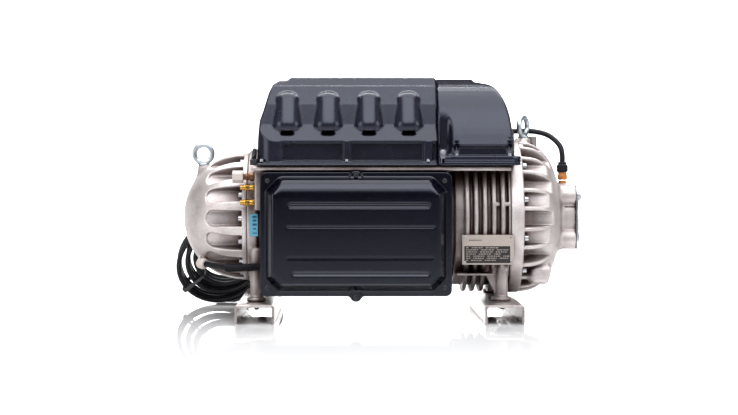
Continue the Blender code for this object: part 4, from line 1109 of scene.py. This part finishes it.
def glands():
    for name, node, across, z, axis, size in (
        ("sensor_gland_nut", "sensor_gland", -0.008, 0.368, 0, 0.0108),
        ("interface_gland_nut", "interface_cable_gland", -0.200, 0.235, 1, 0.0130),
    ):
        low, high = room(node, 0.003)
        field = gland_field(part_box(node)[0][axis], across, z, axis, size)
        skinned(name, field, low, high, 0.0008, CABLE, "cable_rubber", [node])


def hardware():
    skinned("suction_plate", suction_plate_field, *room("suction_port_flange", 0.003), 0.0015, ALUMINIUM,
            "cast_aluminium", ["suction_port_flange"])
    edge = Vector((0.003,) * 3)
    low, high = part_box("discharge_nozzle")[0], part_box("discharge_flange")[1]
    low = Vector((low.x, low.y, SHAFT_Z - 0.059))
    high = Vector((2 * NOZZLE_X - low.x, high.y, SHAFT_Z + 0.059))
    skinned("discharge_casting", nozzle_field, low - edge, high + edge, 0.0016, CAST, "cast_aluminium",
            ["discharge_nozzle", "discharge_flange"])
    for node in ("left_rail", "right_rail"):
        low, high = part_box(node)
        field = rail_field((low.x + high.x) / 2)
        skinned(f"{node}_channel", field, low - edge, high + edge, 0.0017, GALVANISED, "galvanised_steel",
                [node])
    eye("eye_bolt_left", EYE_LEFT, 0)
    eye("eye_bolt_right", EYE_RIGHT, 57)
    low = SENSOR_AT - Vector((0.013, 0.013, 0.001))
    high = SENSOR_AT + Vector((0.013, 0.013, 0.047))
    skinned("sensor_hexagon", sensor_body_field, low, high, 0.0008, AMBER, "amber_plastic",
            ["suction_sensor"])
    skinned("sensor_nut", sensor_nut_field, low, high, 0.0007, CABLE, "cable_rubber")
    lead = cord_curve("sensor_lead_cable", smooth_route(SENSOR_LEAD_ROUTE, 0.004), 0.0054, CABLE)
    attach(lead, ["sensor_lead"])
    glands()


# Plates and labels

LABEL_X = -0.2475
LABEL_RADIUS = 0.1329


def strokes(name, blocks, material):
    """Small flat blocks on a face towards -Y, as one piece. Each is its low corner and its high corner."""
    bm = bmesh.new()
    for low, high in blocks:
        made = bmesh.ops.create_cube(bm, size=1)
        for vertex in made["verts"]:
            for k in range(3):
                vertex.co[k] = high[k] if vertex.co[k] > 0 else low[k]
    mesh = bpy.data.meshes.new(name)
    bm.to_mesh(mesh)
    bm.free()
    mesh.materials.append(material)
    obj = bpy.data.objects.new(name, mesh)
    bpy.context.scene.collection.objects.link(obj)
    return attach(obj)


def relook(node, material):
    """Gives a carried-over piece its look."""
    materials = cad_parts[node].data.materials
    materials.clear()
    materials.append(material)


def name_plate():
    """A rolled silver plate with a dark field, rivets and rows of plain dashes."""
    low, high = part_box("nameplate")
    front = low.y
    silver = brushed("nameplate_look", (0.44, 0.385, 0.34), (0.36, 0.31, 0.275), 0.40,
                     (0.3, 1, 12), 0.10, 140)
    relook("nameplate", silver)
    ink = moulded("nameplate_ink", (0.010, 0.008, 0.009), (0.022, 0.018, 0.019), 0.42)
    field_low = (low.x + 0.004, front - 0.00035, low.z + 0.003)
    field_high = (high.x - 0.007, front + 0.0002, low.z + 0.0355)
    strokes("nameplate_field", [(field_low, field_high)], ink)
    light, dark = [], []
    lengths = np.random.default_rng(4).uniform(0.0012, 0.0052, 90)
    count = 0
    for row, z in enumerate(np.arange(field_high[2] - 0.0038, field_low[2] + 0.0010, -0.0040)):
        x = field_low[0] + 0.003
        end = field_high[0] - (0.004 if row % 3 else 0.022)
        while x < end:
            width = lengths[count % 90]
            light.append(((x, front - 0.00050, z), (x + width, front - 0.0003, z + 0.0013)))
            x += width + (0.0012 if count % 5 else 0.0060)
            count += 1
    for k in range(7):
        x = low.x + 0.013 + 0.0036 * k
        dark.append(((x, front - 0.00035, high.z - 0.0108), (x + 0.0026, front + 0.0001, high.z - 0.0092)))
    strokes("nameplate_light_dashes", light, silver)
    strokes("nameplate_dark_dashes", dark, ink)
    corners = [((x, front + 0.0002, z), -Y, 0.0040) for x in (low.x + 0.0055, high.x - 0.0045)
               for z in (low.z + 0.0050, high.z - 0.0045)]
    heads("nameplate_rivets", hex_bolt_field, corners, STEEL)


def blue_label():
    """Plain bars on the film: they stand for its lettering without any."""
    relook("refrigerant_label", moulded("blue_label_look", (0.09, 0.36, 0.52), (0.14, 0.45, 0.60), 0.34))
    ink = moulded("blue_label_ink", (0.015, 0.06, 0.14), (0.03, 0.10, 0.20), 0.4)
    low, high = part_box("refrigerant_label")
    blocks = []
    bars = ((0.12, 0.0085), (0.30, 0.0060), (0.48, 0.0085), (0.66, 0.0072), (0.82, 0.0085))
    for share, wide in bars:
        z = low.z + (high.z - low.z) * share
        y = SHAFT_Y - math.sqrt(LABEL_RADIUS**2 - (z - SHAFT_Z) ** 2)
        blocks.append(((LABEL_X - wide / 2, y - 0.0001, z), (LABEL_X + wide / 2, y + 0.0012, z + 0.0042)))
    strokes("blue_label_bars", blocks, ink)


def clip_field(p):
    clip = slab(p, (-0.2545, -0.214, 0.3005), (-0.2405, -0.196, 0.3120), 0.002)
    clip = join(clip, bar(p, (-0.2475, -0.205, 0.310), (-0.2455, -0.205, 0.3290), 0.0046), 0.003)
    return join(clip, bar(p, (-0.2480, -0.212, 0.3175), (-0.2480, -0.198, 0.3175), 0.0032), 0.002)


def knob_field(p):
    knob = bar(p, (0.1125, -0.2400, 0.3245), (0.1125, -0.2300, 0.3245), 0.0058)
    stem = slab(p, (0.1080, -0.2360, 0.3030), (0.1180, -0.2250, 0.3200), 0.0018)
    return join(knob, stem, 0.003)


def block_field(p):
    block = slab(p, (0.2440, -0.2330, 0.3010), (0.2608, -0.2050, 0.3180), 0.0015)
    return carve(block, bar(p, (0.2560, -0.240, 0.3095), (0.2560, -0.229, 0.3095), 0.0026), 0.0008)


def gasket_field(p):
    plate = np.maximum(port_square(p, 0.0625, 0.0205), np.abs(p[0] - NECK_END - 0.0002) - 0.0012)
    radius, _ = polar(p)
    return np.maximum(plate, 0.0565 - radius)


def small_trim():
    """A clip at the covers' left edge, a knob between them, a block at the right, and a gasket."""
    skinned("cover_clip", clip_field, (-0.258, -0.218, 0.298), (-0.236, -0.192, 0.336), 0.0010, BLACK,
            "black_plastic")
    skinned("cover_knob", knob_field, (0.103, -0.250, 0.299), (0.123, -0.220, 0.334), 0.0010, GREY,
            "grey_plastic")
    skinned("cover_end_block", block_field, (0.240, -0.237, 0.297), (0.2645, -0.201, 0.322), 0.0010, COVER,
            "black_plastic")
    skinned("suction_gasket", gasket_field, (0.380, -0.110, 0.130), (0.389, 0.026, 0.264), 0.0011, BLACK,
            "cable_rubber")


fasteners()
fittings()
conduit()
hardware()
name_plate()
blue_label()
small_trim()

LOOKS = {
    ALUMINIUM: ["interstage_diffuser", "impeller_1", "impeller_2", "vane_carrier"]
    + [f"guide_vane_{k}" for k in range(1, 8)],
    STEEL: ["rotor_shaft", "touchdown_bearing_rear", "touchdown_bearing_front", "drive_ring", "igv_pinion",
            "check_valve_poppet", "check_valve_spring"],
    LAMINATION: ["stator_core", "radial_bearing_rear", "radial_bearing_front", "thrust_bearing"],
    COPPER: ["end_winding_rear", "end_winding_front"],
    GREY: ["igv_motor", "inverter_module"],
    BLACK: ["interface_cable_tie", "interface_cable_connector"],
    CAN: [f"dc_capacitor_{k}" for k in range(1, 5)],
    BOARD: ["control_board"],
}
for look, names in LOOKS.items():
    for name in names:
        relook(name, look)


# Camera, light and floor

CAMERA_PLACE = (-0.0766, -3.45, 0.32)
CAMERA_LENS = 82.7
CAMERA_SHIFT = (0.0352, -0.0711)
WORLD_STRENGTH = 0.10
FLOOR_HALF = 9
SWEEP_START = 5.5
SWEEP_RADIUS = 1.5
WALL_TOP = 2.0
LIGHTS = (
    ("overhead", (0, -0.40, 2.6), (0, -0.15, 0.2), (3.0, 1.6), 50, (1, 1, 1)),
    ("front_top", (0, -1.95, 2.3), (0, -0.20, 0.35), (3.4, 1.5), 70, (0.95, 0.96, 1.0)),
    ("front_fill", (0, -3.1, 1.80), (0, -0.20, 0.35), (3.6, 0.9), 22, (0.93, 0.95, 1.0)),
    ("front_left", (-2.5, -1.5, 0.9), (-0.2, 0, 0.2), (1.2, 1.6), 20, (1, 1, 1)),
    ("front_right", (2.6, -1.5, 1.1), (0.2, 0, 0.2), (1.0, 1.6), 20, (1, 1, 1)),
    ("backdrop", (0, 1.2, 3.6), (0, 4.2, 1.0), (5.0, 1.2), 420, (1, 1, 1)),
    ("far_backdrop", (0, 4.3, 4.0), (0, 7.6, 0.6), (7.0, 1.5), 900, (1, 1, 1)),
)


def area_light(name, place, aim, size, power, colour):
    light = bpy.data.lights.new(name, "AREA")
    light.shape = "RECTANGLE"
    light.size, light.size_y = size
    light.energy = power
    light.color = colour
    obj = bpy.data.objects.new(name, light)
    obj.location = place
    obj.rotation_euler = (Vector(aim) - Vector(place)).to_track_quat("-Z", "Y").to_euler()
    bpy.context.scene.collection.objects.link(obj)


def front_camera(scene):
    camera = bpy.data.cameras.new("camera")
    camera.lens = CAMERA_LENS
    camera.sensor_width = 36
    camera.shift_x, camera.shift_y = CAMERA_SHIFT
    camera.dof.use_dof = False
    view = bpy.data.objects.new("camera", camera)
    view.location = CAMERA_PLACE
    view.rotation_euler = (math.radians(90), 0, 0)
    scene.collection.objects.link(view)
    scene.camera = view


def dim_world(scene):
    world = bpy.data.worlds.new("studio")
    scene.world = world
    world.use_nodes = True
    background = world.node_tree.nodes["Background"]
    background.inputs["Color"].default_value = (1, 1, 1, 1)
    background.inputs["Strength"].default_value = WORLD_STRENGTH


def floor_look():
    """Pale and matt in front, and a faint mirror from the object backwards."""
    floor = Paint("floor_look", (0.55, 0.55, 0.55), 0.9)
    floor.shader.inputs["Specular IOR Level"].default_value = 0.0
    tone = floor.ramp(floor.noise(1.5, 2), 0.3, 0.7, (0.60, 0.60, 0.60), (0.62, 0.62, 0.62))
    far = floor.between("Y", 0.3, 1.6)
    floor.put("Base Color", floor.mix(far, tone, (0.96, 0.96, 0.96)))
    mirror = floor.add("ShaderNodeBsdfGlossy")
    mirror.inputs["Roughness"].default_value = 0.02
    mirror.inputs["Color"].default_value = (0.97, 0.97, 0.97, 1)
    blend = floor.add("ShaderNodeMixShader")
    floor.link(floor.between("Y", -1.05, -0.25, 0.46), blend.inputs["Fac"])
    floor.link(floor.shader.outputs["BSDF"], blend.inputs[1])
    floor.link(mirror.outputs["BSDF"], blend.inputs[2])
    floor.link(blend.outputs["Shader"], floor.tree.nodes["Material Output"].inputs["Surface"])
    return floor.material


def floor_sheet(scene):
    """A floor that curves up into a wall far behind the object."""
    mesh = bpy.data.meshes.new("floor")
    bm = bmesh.new()
    sweep = [(-FLOOR_HALF, 0), (SWEEP_START, 0)]
    for a in np.linspace(0.1, math.pi / 2, 12):
        sweep.append((SWEEP_START + SWEEP_RADIUS * math.sin(a), SWEEP_RADIUS * (1 - math.cos(a))))
    sweep.append((SWEEP_START + SWEEP_RADIUS, WALL_TOP))
    rows = [[bm.verts.new((x, y, z)) for x in (-FLOOR_HALF, FLOOR_HALF)] for y, z in sweep]
    for first, second in zip(rows, rows[1:]):
        bm.faces.new([first[0], first[1], second[1], second[0]])
    bm.to_mesh(mesh)
    bm.free()
    mesh.shade_smooth()
    mesh.materials.append(floor_look())
    sheet = bpy.data.objects.new("floor", mesh)
    sheet.location.z = -0.0003
    scene.collection.objects.link(sheet)


def studio():
    scene = bpy.context.scene
    scene.view_settings.view_transform = "Standard"
    front_camera(scene)
    dim_world(scene)
    floor_sheet(scene)
    for light in LIGHTS:
        area_light(*light)


studio()
